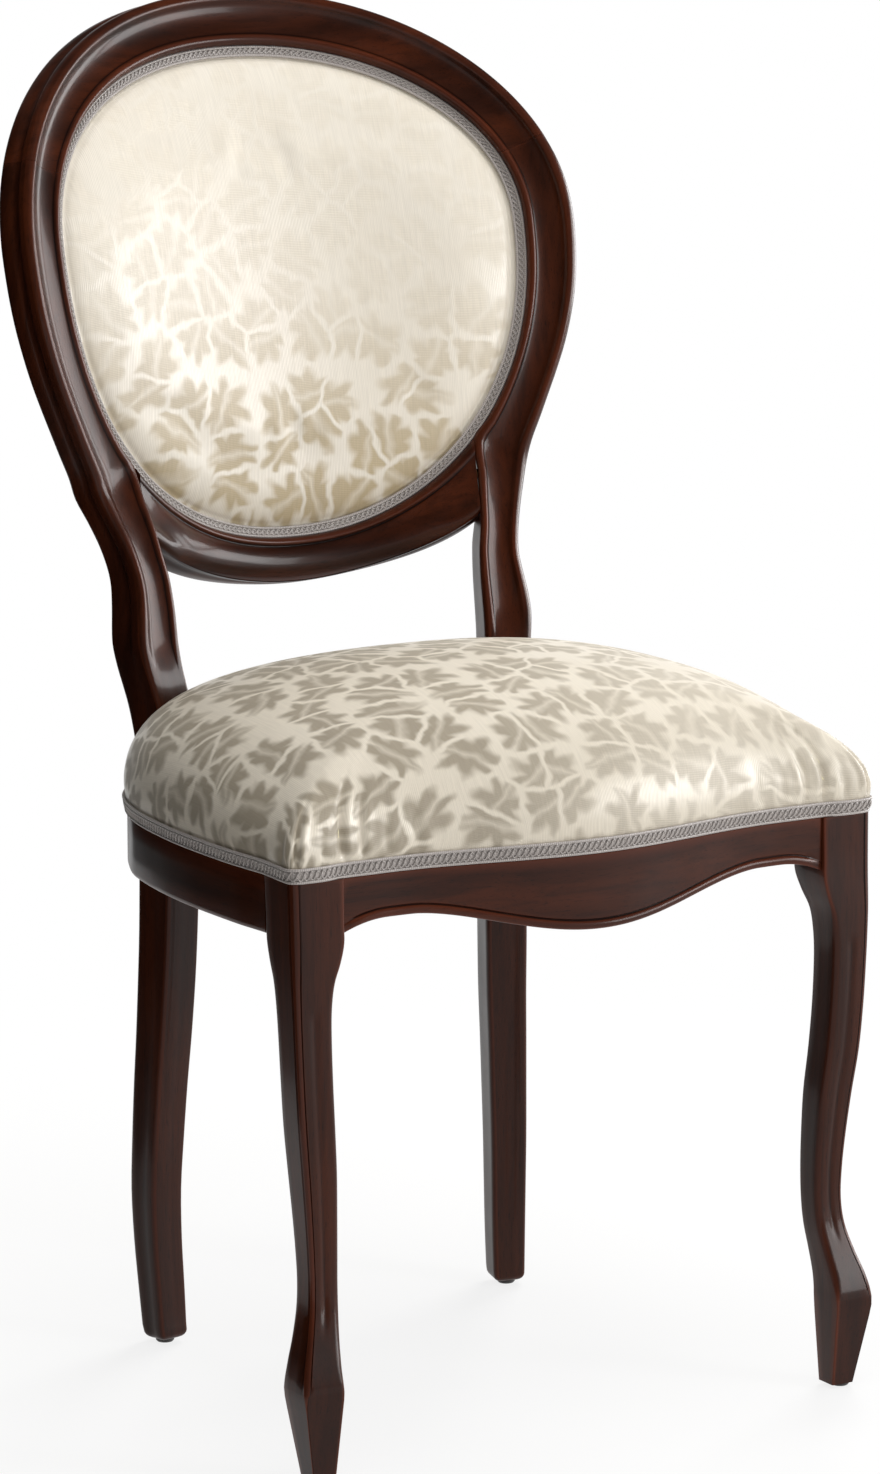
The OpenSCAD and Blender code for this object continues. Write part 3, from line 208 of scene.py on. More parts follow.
# Rows of the stile: share of the height, of the way along X and Y to the oval, width, depth, turn,
# dip, flute
STILE = [
    [0, 0, 0, 1, 1, 1, 0, 0],
    [0.14, 0.036, 0.03, 1, 1.01, 1, 0, 0],
    [0.277, 0.16, 0.116, 1.015, 1.02, 1, 0, 0],
    [0.392, 0.34, 0.23, 1.07, 1.02, 1, 0, 0.1],
    [0.485, 0.446, 0.316, 1.12, 1.01, 1, 0, 0.8],
    [0.577, 0.375, 0.41, 1.06, 0.99, 1.05, 0.18, 1],
    [0.669, 0.293, 0.537, 0.94, 0.96, 1.1, 0.43, 1],
    [0.739, 0.34, 0.63, 0.87, 0.93, 1.16, 0.61, 1],
    [0.822, 0.5, 0.745, 0.93, 0.9, 1.28, 0.79, 1],
    [0.9, 0.714, 0.87, 1.03, 0.88, 1.4, 0.92, 1],
]
join = ring_station(-LOW_JOINT)
join_outer = Vector(join[0:3]) + Vector(join[3:6])
join_dip = join[2] - join_outer.z


def leg_station(outer, w, t, turn, dip, flute):
    d = Vector((w * math.cos(turn), -w * math.sin(turn), -dip))
    return [*(outer - d), *d, -math.sin(turn), -math.cos(turn), 0, t, flute]


def low_leg_station(r):
    x, y, z = REAR_LEG_X + STILE_W * r[1], REAR_LEG_Y + STILE_W * r[2], mix(GLIDE_H, GIMP_Z, r[0])
    w, t = STILE_W * r[3], STILE_T * r[4]
    return leg_station(Vector((x, y, z)), w, t, REAR_LEG_TURN * r[5], 0, 0)


def stile_station(r):
    x, y = mix(REAR_LEG_X, join_outer.x, r[1]), mix(REAR_LEG_Y, join_outer.y, r[2])
    outer = Vector((x, y, mix(GIMP_Z, join_outer.z, r[0])))
    w, t = STILE_W * r[3], STILE_T * r[4]
    return leg_station(outer, w, t, REAR_LEG_TURN * r[5], join_dip * r[6], r[7])


stile_stations = [stile_station(curve(STILE, k / 2)) for k in range(2 * len(STILE) - 1)]
joint_half = math.degrees(GLUE_GAP / 2 / OVAL_HALF_W)
leg_stations = (
    [low_leg_station(r) for r in LOW_LEG]
    + stile_stations
    + [ring_station(mix(-LOW_JOINT, CREST_JOINT - joint_half, k / 13)) for k in range(14)]
)
SEAT_TURN = Vector((math.cos(REAR_LEG_TURN), -math.sin(REAR_LEG_TURN), 0))
SEAT_FRONT = Vector((-math.sin(REAR_LEG_TURN), -math.cos(REAR_LEG_TURN), 0))


def leg_point(face_share, depth_share, z=0.0):
    corner = Vector((REAR_LEG_X, REAR_LEG_Y, z))
    return corner - SEAT_TURN * STILE_W * (1 - face_share) - SEAT_FRONT * STILE_T * depth_share


rear_rail_y = leg_point(0, 0.14).y
rear_back_y = rear_rail_y + REAR_RAIL_T
mid_y = rear_rail_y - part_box("rear_rail")[0].y / MM


def place(p):
    return Vector((p[0], p[1] - mid_y, p[2])) * MM


# Section of the moulded wood, from the inner back corner over the face to the outer back corner.
# Rows: share of the width, mm from the inner edge, share of the thickness down, mm down, and mm
# down where the flute is full.
MOULDING = [
    [0, 2.2, 1, 0, 0], [0, 0.7, 1, -0.7, 0], [0, 0, 1, -2.2, 0],
    [0, 0, 0.6, 0, 0], [0, 0, 0.28, 0, 0], [0, 0, 0.14, 0, 0],
    [0.025, 0, 0.06, 0, 0], [0.07, 0, 0, 0.4, 0], [0.112, 0, 0, 0, 0],
    [0.15, 0, 0, 0, 0.3], [0.18, 0, 0, 0, 1.3], [0.2, 0, 0, 0, 2.5],
    [0.22, 0, 0, 0, 3.1], [0.27, 0, 0, 0.1, 3.9], [0.35, 0, 0, 0.2, 4.9],
    [0.44, 0, 0, 0.4, 5.5], [0.53, 0, 0, 0.5, 5.8], [0.62, 0, 0, 0.6, 5.6],
    [0.7, 0, 0, 0.8, 4.8], [0.76, 0, 0, 1, 3.6], [0.8, 0, 0, 1.1, 2.2],
    [0.84, 0, 0, 1.3, 1.2], [0.885, 0, 0, 1.5, 0.9], [0.93, 0, 0, 1.9, 1.1],
    [0.965, 0, 0, 2.7, 1.6], [0.99, 0, 0, 4, 2], [1, 0, 0, 5.6, 1.8],
    [1, 0, 0.3, 0, 0], [1, -0.2, 0.37, 0, 0], [1, -0.5, 0.45, 0, 0],
    [1, -0.6, 0.55, 0, 0], [1, -0.4, 0.65, 0, 0], [1, 0, 0.74, 0, 0],
    [1, 0, 0.84, 0, 0], [1, -0.5, 1, -2.6, 0], [1, -1.9, 1, -0.8, 0],
    [1, -4, 1, 0, 0], [0.6, 0, 1, 0, 0], [0.35, 0, 1, 0, 0],
]
COVE_D = 1.3
# The lower rail has a broad round face instead of the flute. Rows: share of the width, mm down
ROUND_FACE = [
    [0.15, 0.3], [0.18, 1.3], [0.2, 2.2], [0.22, 2.3], [0.27, 1.2], [0.35, 0.2],
    [0.44, -0.4], [0.53, -0.5], [0.62, -0.2], [0.7, 0.5], [0.76, 1.3], [0.8, 2.0],
    [0.84, 3.0], [0.885, 4.4], [0.93, 6.2], [0.965, 8.0], [0.99, 10.0], [1, 12.2],
]


def moulding(w, t, flute, roundness):
    """Closed section of the moulded wood: distance from the inner edge, height over the face."""
    points = []
    for share, mm, down_share, down, sunk in MOULDING:
        cove = -COVE_D * flute if share == 1 and 0.4 < down_share < 0.6 else 0
        depth = t * down_share + down + sunk * flute
        if roundness and down_share == 0 and share >= ROUND_FACE[0][0]:
            depth = mix(depth, look(ROUND_FACE, share), roundness)
        points.append((w * share + mm + cove, -depth))
    dense = []
    n = len(points)
    for k in range(n):
        rows = [points[(k + j) % n] for j in (-1, 0, 1, 2)]
        dense += [points[k], tuple(curve(rows, 1.5))]
    return dense


def frame_of(station):
    """A station's inner point, direction across, face normal, width and thickness."""
    p, d, n = (Vector(station[k : k + 3]) for k in (0, 3, 6))
    return p, d.normalized(), n, d.length, station[9]


def section_at(station, shrink=0.0, roundness=0.0, wall=None):
    """Section of the moulding at a station; its inner wall can keep a direction of its own."""
    p, u, n, w, t = frame_of(station)
    mid_w, mid_t = w / 2, -t / 2
    out = []
    for x, h in moulding(w, t, station[10], roundness):
        x = mid_w + (x - mid_w) * (1 - 2 * shrink / w)
        h = mid_t + (h - mid_t) * (1 - 2 * shrink / t)
        deep = n if wall is None else wall.lerp(n, smooth(0, w * 0.35, x))
        out.append(p + u * x + deep * h)
    return out


# ---- lower back rail
corner_station = stile_stations[15]


def low_rail_station(b):
    a = -90 + (90 - LOW_JOINT) * b
    i = oval_at(a)
    p = on_back(*i)
    flat = on_back(corner_station[0] * b, -OVAL_DROP - RING_LOW_W)
    up = corner_station[2] - flat.z
    lean = RAKE_DIR.y / RAKE_DIR.z
    ahead = corner_station[1] - (flat.y + up * lean)
    s, f = b * b, abs(b) ** 3
    under = flat + Vector((0, up * s * lean + ahead * f, up * s))
    d, n0 = under - p, face_normal(i[0])
    n = (n0 - d * (n0.dot(d) / d.dot(d))).normalized()
    return [*p, *d, *n, RING_T, mix(1, 0.6, b**4)]


# ---- front legs
# Rows: share of the height, shift outwards in post widths, width as a share of the post's
FRONT_LEG = [
    [1, 0, 1], [0.93, 0.005, 0.984], [0.895, 0.01, 0.982], [0.862, 0.015, 0.9],
    [0.83, 0.016, 0.79], [0.79, 0.01, 0.735], [0.744, 0, 0.71], [0.67, -0.024, 0.698],
    [0.59, -0.07, 0.69], [0.512, -0.155, 0.66], [0.44, -0.222, 0.612], [0.38, -0.262, 0.575],
    [0.326, -0.27, 0.553], [0.28, -0.216, 0.571], [0.235, -0.083, 0.634], [0.2, 0.045, 0.71],
    [0.172, 0.125, 0.76], [0.155, 0.15, 0.775],
]
FOOT = [[0.14, 0.14, 0.755], [0, -0.09, 0.44]]
ARRIS_MIN = 0.8
QUIRK_D = 1.1
LEG_FLUTE_D = 1.1


def arc(x, y, r, start, turn, steps):
    """Points round (x, y), from an angle on through a turn, in degrees."""
    angles = [math.radians(start + turn * k / steps) for k in range(steps + 1)]
    return [(x + r * math.cos(a), y + r * math.sin(a)) for a in angles]


def front_leg_ring(r):
    """Section of the right front leg: square, with a bead and a quirk down its outer corner."""
    s, w, out = r[0], POST_W * r[2], POST_W * r[1]
    x1, y0 = FRONT_W / 2 + out - FOOT_IN * (1 - s), -out - FOOT_OUT * (1 - s)
    x0, y1 = x1 - w, y0 + w
    c = max(ARRIS_MIN, ARRIS_W * r[2] * smooth(0.12, 0.17, s))
    quirk = QUIRK_D * smooth(0.15, 0.19, s)
    inner = mix(1.6, 4.6, 1 - smooth(0.78, 0.88, s))
    inner = mix(1.2, inner, smooth(0.14, 0.2, s))
    flute = LEG_FLUTE_D * smooth(0.24, 0.32, s) * (1 - smooth(0.775, 0.79, s))
    ring = []
    face = x1 - c - x0 - inner
    for k in range(13):
        q = k / 12 - 0.5
        sunk = flute * max(0.0, math.cos(math.pi * q / 0.46)) ** 2 if abs(q) < 0.23 else 0
        ring.append((x0 + inner + face * (q + 0.5) * 0.96, y0 + sunk))
    bead, past = c * 0.94, y0 + c + 2.1
    ring += [(x1 - c - 0.2, y0 + quirk), (x1 - c + 0.5, y0 + quirk * 0.5)]
    ring += arc(x1 - bead, y0 + bead, bead, -90, 90, 6)
    ring += [(x1 - quirk * 0.5, y0 + c + 0.3), (x1 - quirk * 0.7, y0 + c + 0.9)]
    ring += [(x1, mix(past, y1, q)) for q in (0, 0.35, 0.7)]
    e = 2.2 * smooth(0.12, 0.2, s) + 0.5
    ring += arc(x1 - e, y1 - e, e, 0, 90, 3) + [(mix(x0, x1, 0.5), y1)]
    ring += arc(x0 + e, y1 - e, e, 90, 90, 3)
    ring += [(x0, mix(y1, y0, q)) for q in (0.35, 0.65)]
    ring += arc(x0 + inner, y0 + inner, inner, 180, 72, 4)
    z = mix(GLIDE_H, GIMP_Z, s)
    return [(x, y, z) for x, y in ring]


# ---- seat rails
post_in_x = FRONT_W / 2 - POST_W
front_half = post_in_x - GLUE_GAP
arch_z = GIMP_Z - ARCH_H
rail_top_z = GIMP_Z + REBATE_H
BOW_SPAN = 0.82
DROP_SPAN = 0.72
CURL_SPAN = 0.18


def rail_front(x):
    return RAIL_SET - BOW_D * math.cos(math.pi / 2 * clamp01(abs(x) / front_half / BOW_SPAN)) ** 2


def rail_low(x):
    s = abs(x) / front_half
    c = clamp01((s - 1 + CURL_SPAN) / CURL_SPAN)
    drop = DROP_H * max(0.0, math.cos(math.pi / 2 * clamp01(s / DROP_SPAN))) ** 1.6
    return arch_z - drop - ARCH_H * 0.25 * c * c


# Outer and inner line of a side rail. Rows: share of the run, share of the way to the rear leg
SIDE_OUT = [
    [0, 0.014], [0.12, -0.023], [0.35, -0.037], [0.53, 0.006], [0.72, 0.113], [0.86, 0.312],
    [0.95, 0.525], [1.02, 0.723], [1.08, 0.922],
]
SIDE_IN = [
    [0, 0], [0.45, 0.017], [0.68, 0.108], [0.8, 0.266], [0.9, 0.552], [0.98, 0.934],
    [1.05, 1.2],
]
side_run = REAR_LEG_Y - POST_W


def side_y(s):
    return POST_W + side_run * s


def side_x(s):
    return mix(FRONT_W / 2, REAR_LEG_X, look(SIDE_OUT, s))


def side_in_x(s):
    return mix(side_x(s) - SIDE_RAIL_T, leg_point(0, 0).x, look(SIDE_IN, s))


# ---- plan of the seat's upholstery
rear_edge_y = rear_back_y + REBATE_D
front_plan = [(front_half * k / 8, rail_front(front_half * k / 8)) for k in range(9)]
corner_xs = [FRONT_W / 2 - POST_W * share for share in (0.62, 0.22, 0.06)]
corner_ys = (0, 0, POST_W * 0.05)
corner_plan = [*zip(corner_xs, corner_ys), (FRONT_W / 2, POST_W * 0.2)]
side_plan = [
    (side_x(s), side_y(s)) for s in (0, 0.13, 0.26, 0.4, 0.53, 0.65, 0.76, 0.85, 0.92, 0.98, 1.04)
]
rear_plan = [
    (REAR_LEG_X - STILE_W * 0.22, rear_edge_y - STILE_W * 0.18),
    (REAR_LEG_X - STILE_W * 0.8, rear_edge_y),
] + [(REAR_LEG_X * 0.62 * k / 4, rear_edge_y) for k in range(4, -1, -1)]
half_plan = front_plan + corner_plan + side_plan + rear_plan
seat_plan = half_plan + [(-x, y) for x, y in half_plan[-2:0:-1]]
seat_mid = Vector((0, REAR_LEG_Y * 0.545))
soft_x, soft_y, SOFT_POWER = FRONT_W / 2, rear_edge_y * 0.5, 2.5
# The seat's crown. Rows: share of the plan, share of the height, how far the plan is rounded
CROWN = [
    [1, 0, 0], [1.012, 0.14, 0], [1.01, 0.283, 0.04], [0.985, 0.45, 0.2],
    [0.93, 0.602, 0.45], [0.84, 0.73, 0.7], [0.7, 0.837, 0.9], [0.5, 0.926, 1],
    [0.26, 0.982, 1], [0, 1, 1],
]


def dense_plan(step_at):
    """Points round the seat's plan at about the given spacing, with their outward directions."""
    n = len(seat_plan)
    fine = []
    for i in range(n):
        rows = [seat_plan[(i + j) % n] for j in (-1, 0, 1, 2)]
        fine += [Vector(curve(rows, 1 + k / 40)) for k in range(40)]
    points, travelled, due = [], 0.0, 0.0
    for a, b in zip(fine, fine[1:] + fine[:1]):
        if travelled >= due:
            points.append(a)
            due = travelled + step_at(a)
        travelled += (b - a).length
    if (points[0] - points[-1]).length < 0.5 * step_at(points[0]):
        points.pop()
    if len(points) % 2:
        points.pop(len(points) // 2)
    outward = []
    m = len(points)
    for i in range(m):
        d = points[(i + 1) % m] - points[(i - 1) % m]
        outward.append(Vector((d.y, -d.x)).normalized())
    return points, outward


def soft_plan(p):
    d = (p - seat_mid).normalized()
    r = (abs(d.x) / soft_x) ** SOFT_POWER + (abs(d.y) / soft_y) ** SOFT_POWER
    return seat_mid + d / r ** (1 / SOFT_POWER)


# ---- mesh helpers
def next_vert(v, fresh):
    """The vertex that was extruded from v."""
    return next(e.other_vert(v) for e in v.link_edges if e.other_vert(v) in fresh)


def close_ring(bm, ring):
    pairs = zip(ring, ring[1:] + ring[:1])
    bmesh.ops.holes_fill(bm, edges=[bm.edges.get(pair) for pair in pairs])


def loft(rings, closed_path=False, lay=None):
    """A flat grid bent into the skin through rings of points, and joined where its edges meet."""
    bm = bmesh.new()
    rows, cols = len(rings), len(rings[0])
    along = rows if closed_path else rows - 1
    grid = bmesh.ops.create_grid(bm, x_segments=cols, y_segments=along, size=1.0)["verts"]
    spots = {v: divmod(k, cols + 1) for k, v in enumerate(grid)}
    for v, (j, i) in spots.items():
        v.co = place(rings[j % rows][i % cols])
    if lay:
        uv = bm.loops.layers.uv.new("cloth")
        for f in bm.faces:
            for corner in f.loops:
                j, i = spots[corner.vert]
                corner[uv].uv = (lay[j], i / cols)
    seam = {}
    for v, (j, i) in spots.items():
        first = grid[(j % rows) * (cols + 1) + i % cols]
        if first is not v:
            seam[v] = first
    ends = [[grid[j * (cols + 1) + i] for i in range(cols)] for j in (0, rows - 1)]
    bmesh.ops.weld_verts(bm, targetmap=seam)
    if not closed_path:
        for ring in ends:
            close_ring(bm, ring)
    bmesh.ops.recalc_face_normals(bm, faces=bm.faces[:])
    return bm


def gathered(parts):
    """One bmesh of several."""
    whole = bmesh.new()
    for part in parts:
        mesh = bpy.data.meshes.new("part")
        part.to_mesh(mesh)
        part.free()
        whole.from_mesh(mesh)
        bpy.data.meshes.remove(mesh)
    return whole


def new_object(bm, name, cover):
    """Turns a bmesh into an object of one material."""
    mesh = bpy.data.meshes.new(name)
    bm.to_mesh(mesh)
    bm.free()
    mesh.materials.append(cover)
    obj = bpy.data.objects.new(name, mesh)
    scene.collection.objects.link(obj)
    return obj


def finish_mesh(bm, name, cover, sharp=50.0):
    """Turns a bmesh into a piece with smooth shading and crisp corners."""
    bmesh.ops.recalc_face_normals(bm, faces=bm.faces[:])
    for f in bm.faces:
        f.smooth = True
    obj = new_object(bm, name, cover)
    if sharp:
        obj.data.set_sharp_from_angle(angle=math.radians(sharp))
    return obj


def mark_turns(obj, reach=0.0035):
    """Stores how sharply the wood turns: above 0 on edges, below 0 in grooves."""
    bm = bmesh.new()
    bm.from_mesh(obj.data)
    bm.normal_update()
    turn = []
    for v in bm.verts:
        bends = [
            v.normal.dot(v.co - e.other_vert(v).co) / max(e.calc_length(), 1e-5) ** 2
            for e in v.link_edges
        ]
        sharpest = max(bends, key=abs) if bends else 0.0
        turn.append(max(-1.0, min(1.0, sharpest * reach)))
    for _ in range(2):
        around = [
            sum(turn[e.other_vert(v).index] for e in v.link_edges) / max(1, len(v.link_edges))
            for v in bm.verts
        ]
        turn = [mix(own, others, 0.5) for own, others in zip(turn, around)]
    bm.free()
    layer = obj.data.attributes.new("turn", "FLOAT", "POINT")
    layer.data.foreach_set("value", turn)


def add_piece(obj, slot, *replaced):
    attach(obj, "root")
    if replaced:
        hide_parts(*replaced)


# ---- materials
def hue(code):
    """sRGB hex to linear colour."""
    parts = [int(code[i : i + 2], 16) / 255 for i in (1, 3, 5)]
    return [c / 12.92 if c <= 0.04045 else ((c + 0.055) / 1.055) ** 2.4 for c in parts] + [1.0]


def add(tree, kind, inputs=None, out=None, **settings):
    """Adds a shader node with its settings, sets or links its inputs, and returns the output named,
    or else the first one in use."""
    n = tree.nodes.new("ShaderNode" + kind)
    for key, value in settings.items():
        setattr(n, key, value)
    for key, value in (inputs or {}).items():
        if isinstance(value, bpy.types.NodeSocket):
            tree.links.new(value, n.inputs[key])
        else:
            n.inputs[key].default_value = value
    return n.outputs[out] if out else next((o for o in n.outputs if o.enabled), None)


def material(name, surface, *choices):
    """A new material. The surface function adds its nodes and returns the shader."""
    mat = bpy.data.materials.new(name)
    mat.use_nodes = True
    mat.node_tree.nodes.clear()
    add(mat.node_tree, "OutputMaterial", {"Surface": surface(mat.node_tree, *choices)})
    return mat


GRAIN_STRETCH = 1 / 16
BAND_MM = 5.0
PORE_MM = 0.8


def stained_beech(tree, grain):
    """Beech planed and sanded smooth, stained dark red-brown and lacquered to a gloss: faint growth
    bands and short dark pores along the grain, grooves darker as stain lying thick there and as
    painted shade, ridges lighter and redder as wear rubbed between coats and as a painted
    highlight, and a clear skin that gives crisp highlights."""
    spot = add(tree, "TexCoord", out="Object")
    scale = [1.0, 1.0, 1.0]
    scale[grain] = GRAIN_STRETCH
    along = add(tree, "Mapping", {"Vector": spot, "Scale": scale})
    broad = add(tree, "TexNoise", {"Vector": along, "Scale": 1 / (BAND_MM * 6 * MM), "Detail": 3.0})
    fine = {"Vector": along, "Scale": 1 / (BAND_MM * MM), "Detail": 4.0, "Distortion": 0.4}
    bands = add(tree, "TexNoise", fine)
    pores = add(tree, "TexNoise", {"Vector": along, "Scale": 1 / (PORE_MM * MM), "Detail": 1.0})
    handling = add(tree, "TexNoise", {"Vector": spot, "Scale": 1 / (60 * MM), "Detail": 3.0})
    turn = add(tree, "Attribute", out="Fac", attribute_name="turn")
    wood = hue("#2a1209")
    # Tones laid over the stain. Rows: what brings the tone, from where, to where, how much, colour
    for cause, low, high, most, tone in (
        (broad, 0.35, 0.65, 1.0, "#441e0e"),
        (bands, 0.45, 0.7, 0.45, "#1e0d07"),
        (pores, 0.6, 0.72, 0.5, "#140806"),
        # ridges lighter and redder: rubbed wear, and partly a painted highlight
        (turn, 0.25, 0.9, 0.6, "#6e3623"),
        # grooves nearly black: stain lying thick there, and partly painted shade
        (turn, -0.12, -0.75, 0.9, "#0d0504"),
    ):
        span = {"Value": cause, "From Min": low, "From Max": high, "To Max": most}
        share = add(tree, "MapRange", span)
        wood = add(tree, "Mix", {0: share, 6: wood, 7: hue(tone)}, data_type="RGBA")
    span = {"Value": handling, "From Min": 0.3, "From Max": 0.7, "To Min": 0.3, "To Max": 0.42}
    rough = add(tree, "MapRange", span)
    height = add(tree, "Math", {0: pores, 1: bands}, operation="ADD")
    bump = add(tree, "Bump", {"Height": height, "Strength": 0.1, "Distance": 0.15 * MM})
    finish = {"Base Color": wood, "Roughness": rough, "IOR": 1.45, "Specular IOR Level": 0.12}
    finish |= {"Coat Weight": 0.2, "Coat Roughness": 0.12, "Coat IOR": 1.45, "Normal": bump}
    return add(tree, "BsdfPrincipled", finish)


def plain_beech(tree):
    """Bare planed beech of the inner parts: pale pinkish tan with short darker flecks, dull."""
    spot = add(tree, "TexCoord", out="Object")
    along = add(tree, "Mapping", {"Vector": spot, "Scale": (GRAIN_STRETCH, 1.0, 1.0)})
    bands = add(tree, "TexNoise", {"Vector": along, "Scale": 1 / (BAND_MM * MM), "Detail": 4.0})
    flecks = add(tree, "TexNoise", {"Vector": along, "Scale": 1 / (PORE_MM * MM), "Detail": 1.0})
    wood = add(tree, "Mix", {0: bands, 6: hue("#c79f73"), 7: hue("#a9794c")}, data_type="RGBA")
    span = {"Value": flecks, "From Min": 0.58, "From Max": 0.7, "To Max": 0.5}
    fleck = add(tree, "MapRange", span)
    wood = add(tree, "Mix", {0: fleck, 6: wood, 7: hue("#7d5430")}, data_type="RGBA")
    bump = add(tree, "Bump", {"Height": flecks, "Strength": 0.3, "Distance": 0.2 * MM})
    return add(tree, "BsdfPrincipled", {"Base Color": wood, "Roughness": 0.6, "Normal": bump})


# The real cloth has threads 0.3 mm apart, which this picture can't show: they are drawn wider.
THREAD_MM = 1.3
# Noise that curls the leaves, then scallops them: size and reach, in mm
CURLS = [[55.0, 26.0], [13.0, 9.0]]
LEAF_MM = 37.0
LEAF_SIZE = (28.5, 22.5)
LEAF_LOBES = 7.0
WEB_MM = 2.3


def leaf_figure(tree, cloth):
    """Scalloped leaves with a pale midrib, each turned its own way, parted by thin webs."""
    curled = cloth
    for size, reach in CURLS:
        ripples = {"Vector": cloth, "Scale": 1 / (size * MM), "Detail": 0.8}
        swirl = add(tree, "TexNoise", ripples, out="Color")
        push = add(tree, "VectorMath", {0: swirl, 1: (0.5, 0.5, 0.5)}, operation="SUBTRACT")
        push = add(tree, "VectorMath", {0: push, "Scale": reach * MM}, operation="SCALE")
        curled = add(tree, "VectorMath", {0: curled, 1: push}, operation="ADD")
    net = {"Vector": curled, "Scale": 1 / (LEAF_MM * MM), "Randomness": 0.85}
    cells = add(tree, "TexVoronoi", net, voronoi_dimensions="2D").node.outputs
    border = add(tree, "TexVoronoi", net, voronoi_dimensions="2D", feature="DISTANCE_TO_EDGE")
    low, high = 0.2 * WEB_MM / LEAF_MM, 1.6 * WEB_MM / LEAF_MM
    span = {"Value": border, "From Min": low, "From Max": high}
    web = add(tree, "MapRange", span, interpolation_type="SMOOTHSTEP")
    away = add(tree, "VectorMath", {0: curled, 1: cells["Position"]}, operation="SUBTRACT")
    own = add(tree, "SeparateXYZ", {"Vector": cells["Color"]})
    turn = add(tree, "Math", {0: own, 1: 2 * math.pi}, operation="MULTIPLY")
    turned = add(tree, "VectorRotate", {"Vector": away, "Angle": turn}, rotation_type="Z_AXIS")
    to_leaf = (1 / (LEAF_SIZE[0] * MM), 1 / (LEAF_SIZE[1] * MM), 0.0)
    shape = add(tree, "VectorMath", {0: turned, 1: to_leaf}, operation="MULTIPLY")
    radius = add(tree, "VectorMath", {0: shape}, operation="LENGTH")
    x, y, _ = add(tree, "SeparateXYZ", {"Vector": shape}).node.outputs
    angle = add(tree, "Math", {0: y, 1: x}, operation="ARCTAN2")
    lobes = add(tree, "Math", {0: angle, 1: LEAF_LOBES}, operation="MULTIPLY")
    lobes = add(tree, "Math", {0: lobes}, operation="COSINE")
    rim = add(tree, "Math", {0: lobes, 1: 0.17, 2: 0.83}, operation="MULTIPLY_ADD")
    depth = add(tree, "Math", {0: rim, 1: radius}, operation="SUBTRACT")
    span = {"Value": depth, "From Min": -0.14, "From Max": 0.34}
    body = add(tree, "MapRange", span, interpolation_type="SMOOTHSTEP")
    off_rib = add(tree, "Math", {0: y}, operation="ABSOLUTE")
    rib = add(tree, "MapRange", {"Value": off_rib, "From Max": 0.2, "To Min": 0.45})
    leaf = add(tree, "Math", {0: body, 1: rib}, operation="MULTIPLY")
    return add(tree, "Math", {0: leaf, 1: web}, operation="MULTIPLY")


def damask(tree, ground, motif, way, low, high, least):
    """Jacquard damask of cotton and viscose: a cream satin ground that shines, and a leafy motif in
    duller greyed beige whose threads lie the other way. Along way the motif is painted fading, from
    full at low to least at high: a painted sheen of the satin where the light strikes it."""
    cloth = add(tree, "UVMap", uv_map="cloth")
    uv = add(tree, "SeparateXYZ", {"Vector": cloth}).node.outputs
    figure = leaf_figure(tree, cloth)
    # Painted sheen: the motif fades along a fixed way on the cloth, not with the lamps.
    where = add(tree, "VectorMath", {0: cloth, 1: way}, operation="DOT_PRODUCT")
    span = {"Value": where, "From Min": low, "From Max": high, "To Min": 1.0, "To Max": least}
    painted_sheen_fade = add(tree, "MapRange", span, interpolation_type="SMOOTHSTEP")
    shown = add(tree, "Math", {0: figure, 1: painted_sheen_fade}, operation="MULTIPLY")
    tone = add(tree, "TexNoise", {"Vector": cloth, "Scale": 1 / (55 * MM), "Detail": 2.0})
    pale, dull = (
        add(tree, "Mix", {0: tone, 6: hue(first), 7: hue(second)}, data_type="RGBA")
        for first, second in (ground, motif)
    )
    colour = add(tree, "Mix", {0: shown, 6: pale, 7: dull}, data_type="RGBA")
    threads = []
    for axis in (0, 1):
        turns = {0: uv[axis], 1: 2 * math.pi / (THREAD_MM * MM)}
        wave = add(tree, "Math", turns, operation="MULTIPLY")
        threads.append(add(tree, "Math", {0: wave}, operation="SINE"))
    lie = add(tree, "Mix", {0: figure, 2: threads[0], 3: threads[1]})
    drawn = add(tree, "Mapping", {"Vector": cloth, "Scale": (1 / 1.2, 1 / 26, 1.0)})
    slub = add(tree, "TexNoise", {"Vector": drawn, "Scale": 1 / MM, "Detail": 2.0})
    span = {"Value": slub, "From Min": 0.3, "From Max": 0.7, "To Min": 0.94, "To Max": 1.03}
    streaks = add(tree, "MapRange", span)
    grain = add(tree, "Math", {0: lie, 1: 0.016, 2: streaks}, operation="MULTIPLY_ADD")
    colour = add(tree, "VectorMath", {0: colour, "Scale": grain}, operation="SCALE")
    relief = add(tree, "Math", {0: figure, 1: -1.6, 2: lie}, operation="MULTIPLY_ADD")
    bump = add(tree, "Bump", {"Height": relief, "Strength": 0.3, "Distance": 0.12 * MM})
    rough = add(tree, "MapRange", {"Value": figure, "To Min": 0.34, "To Max": 0.55})
    finish = {"Base Color": colour, "Roughness": rough, "Specular IOR Level": 0.35}
    finish |= {"Sheen Weight": 0.2, "Sheen Roughness": 0.4, "Normal": bump}
    return add(tree, "BsdfPrincipled", finish)


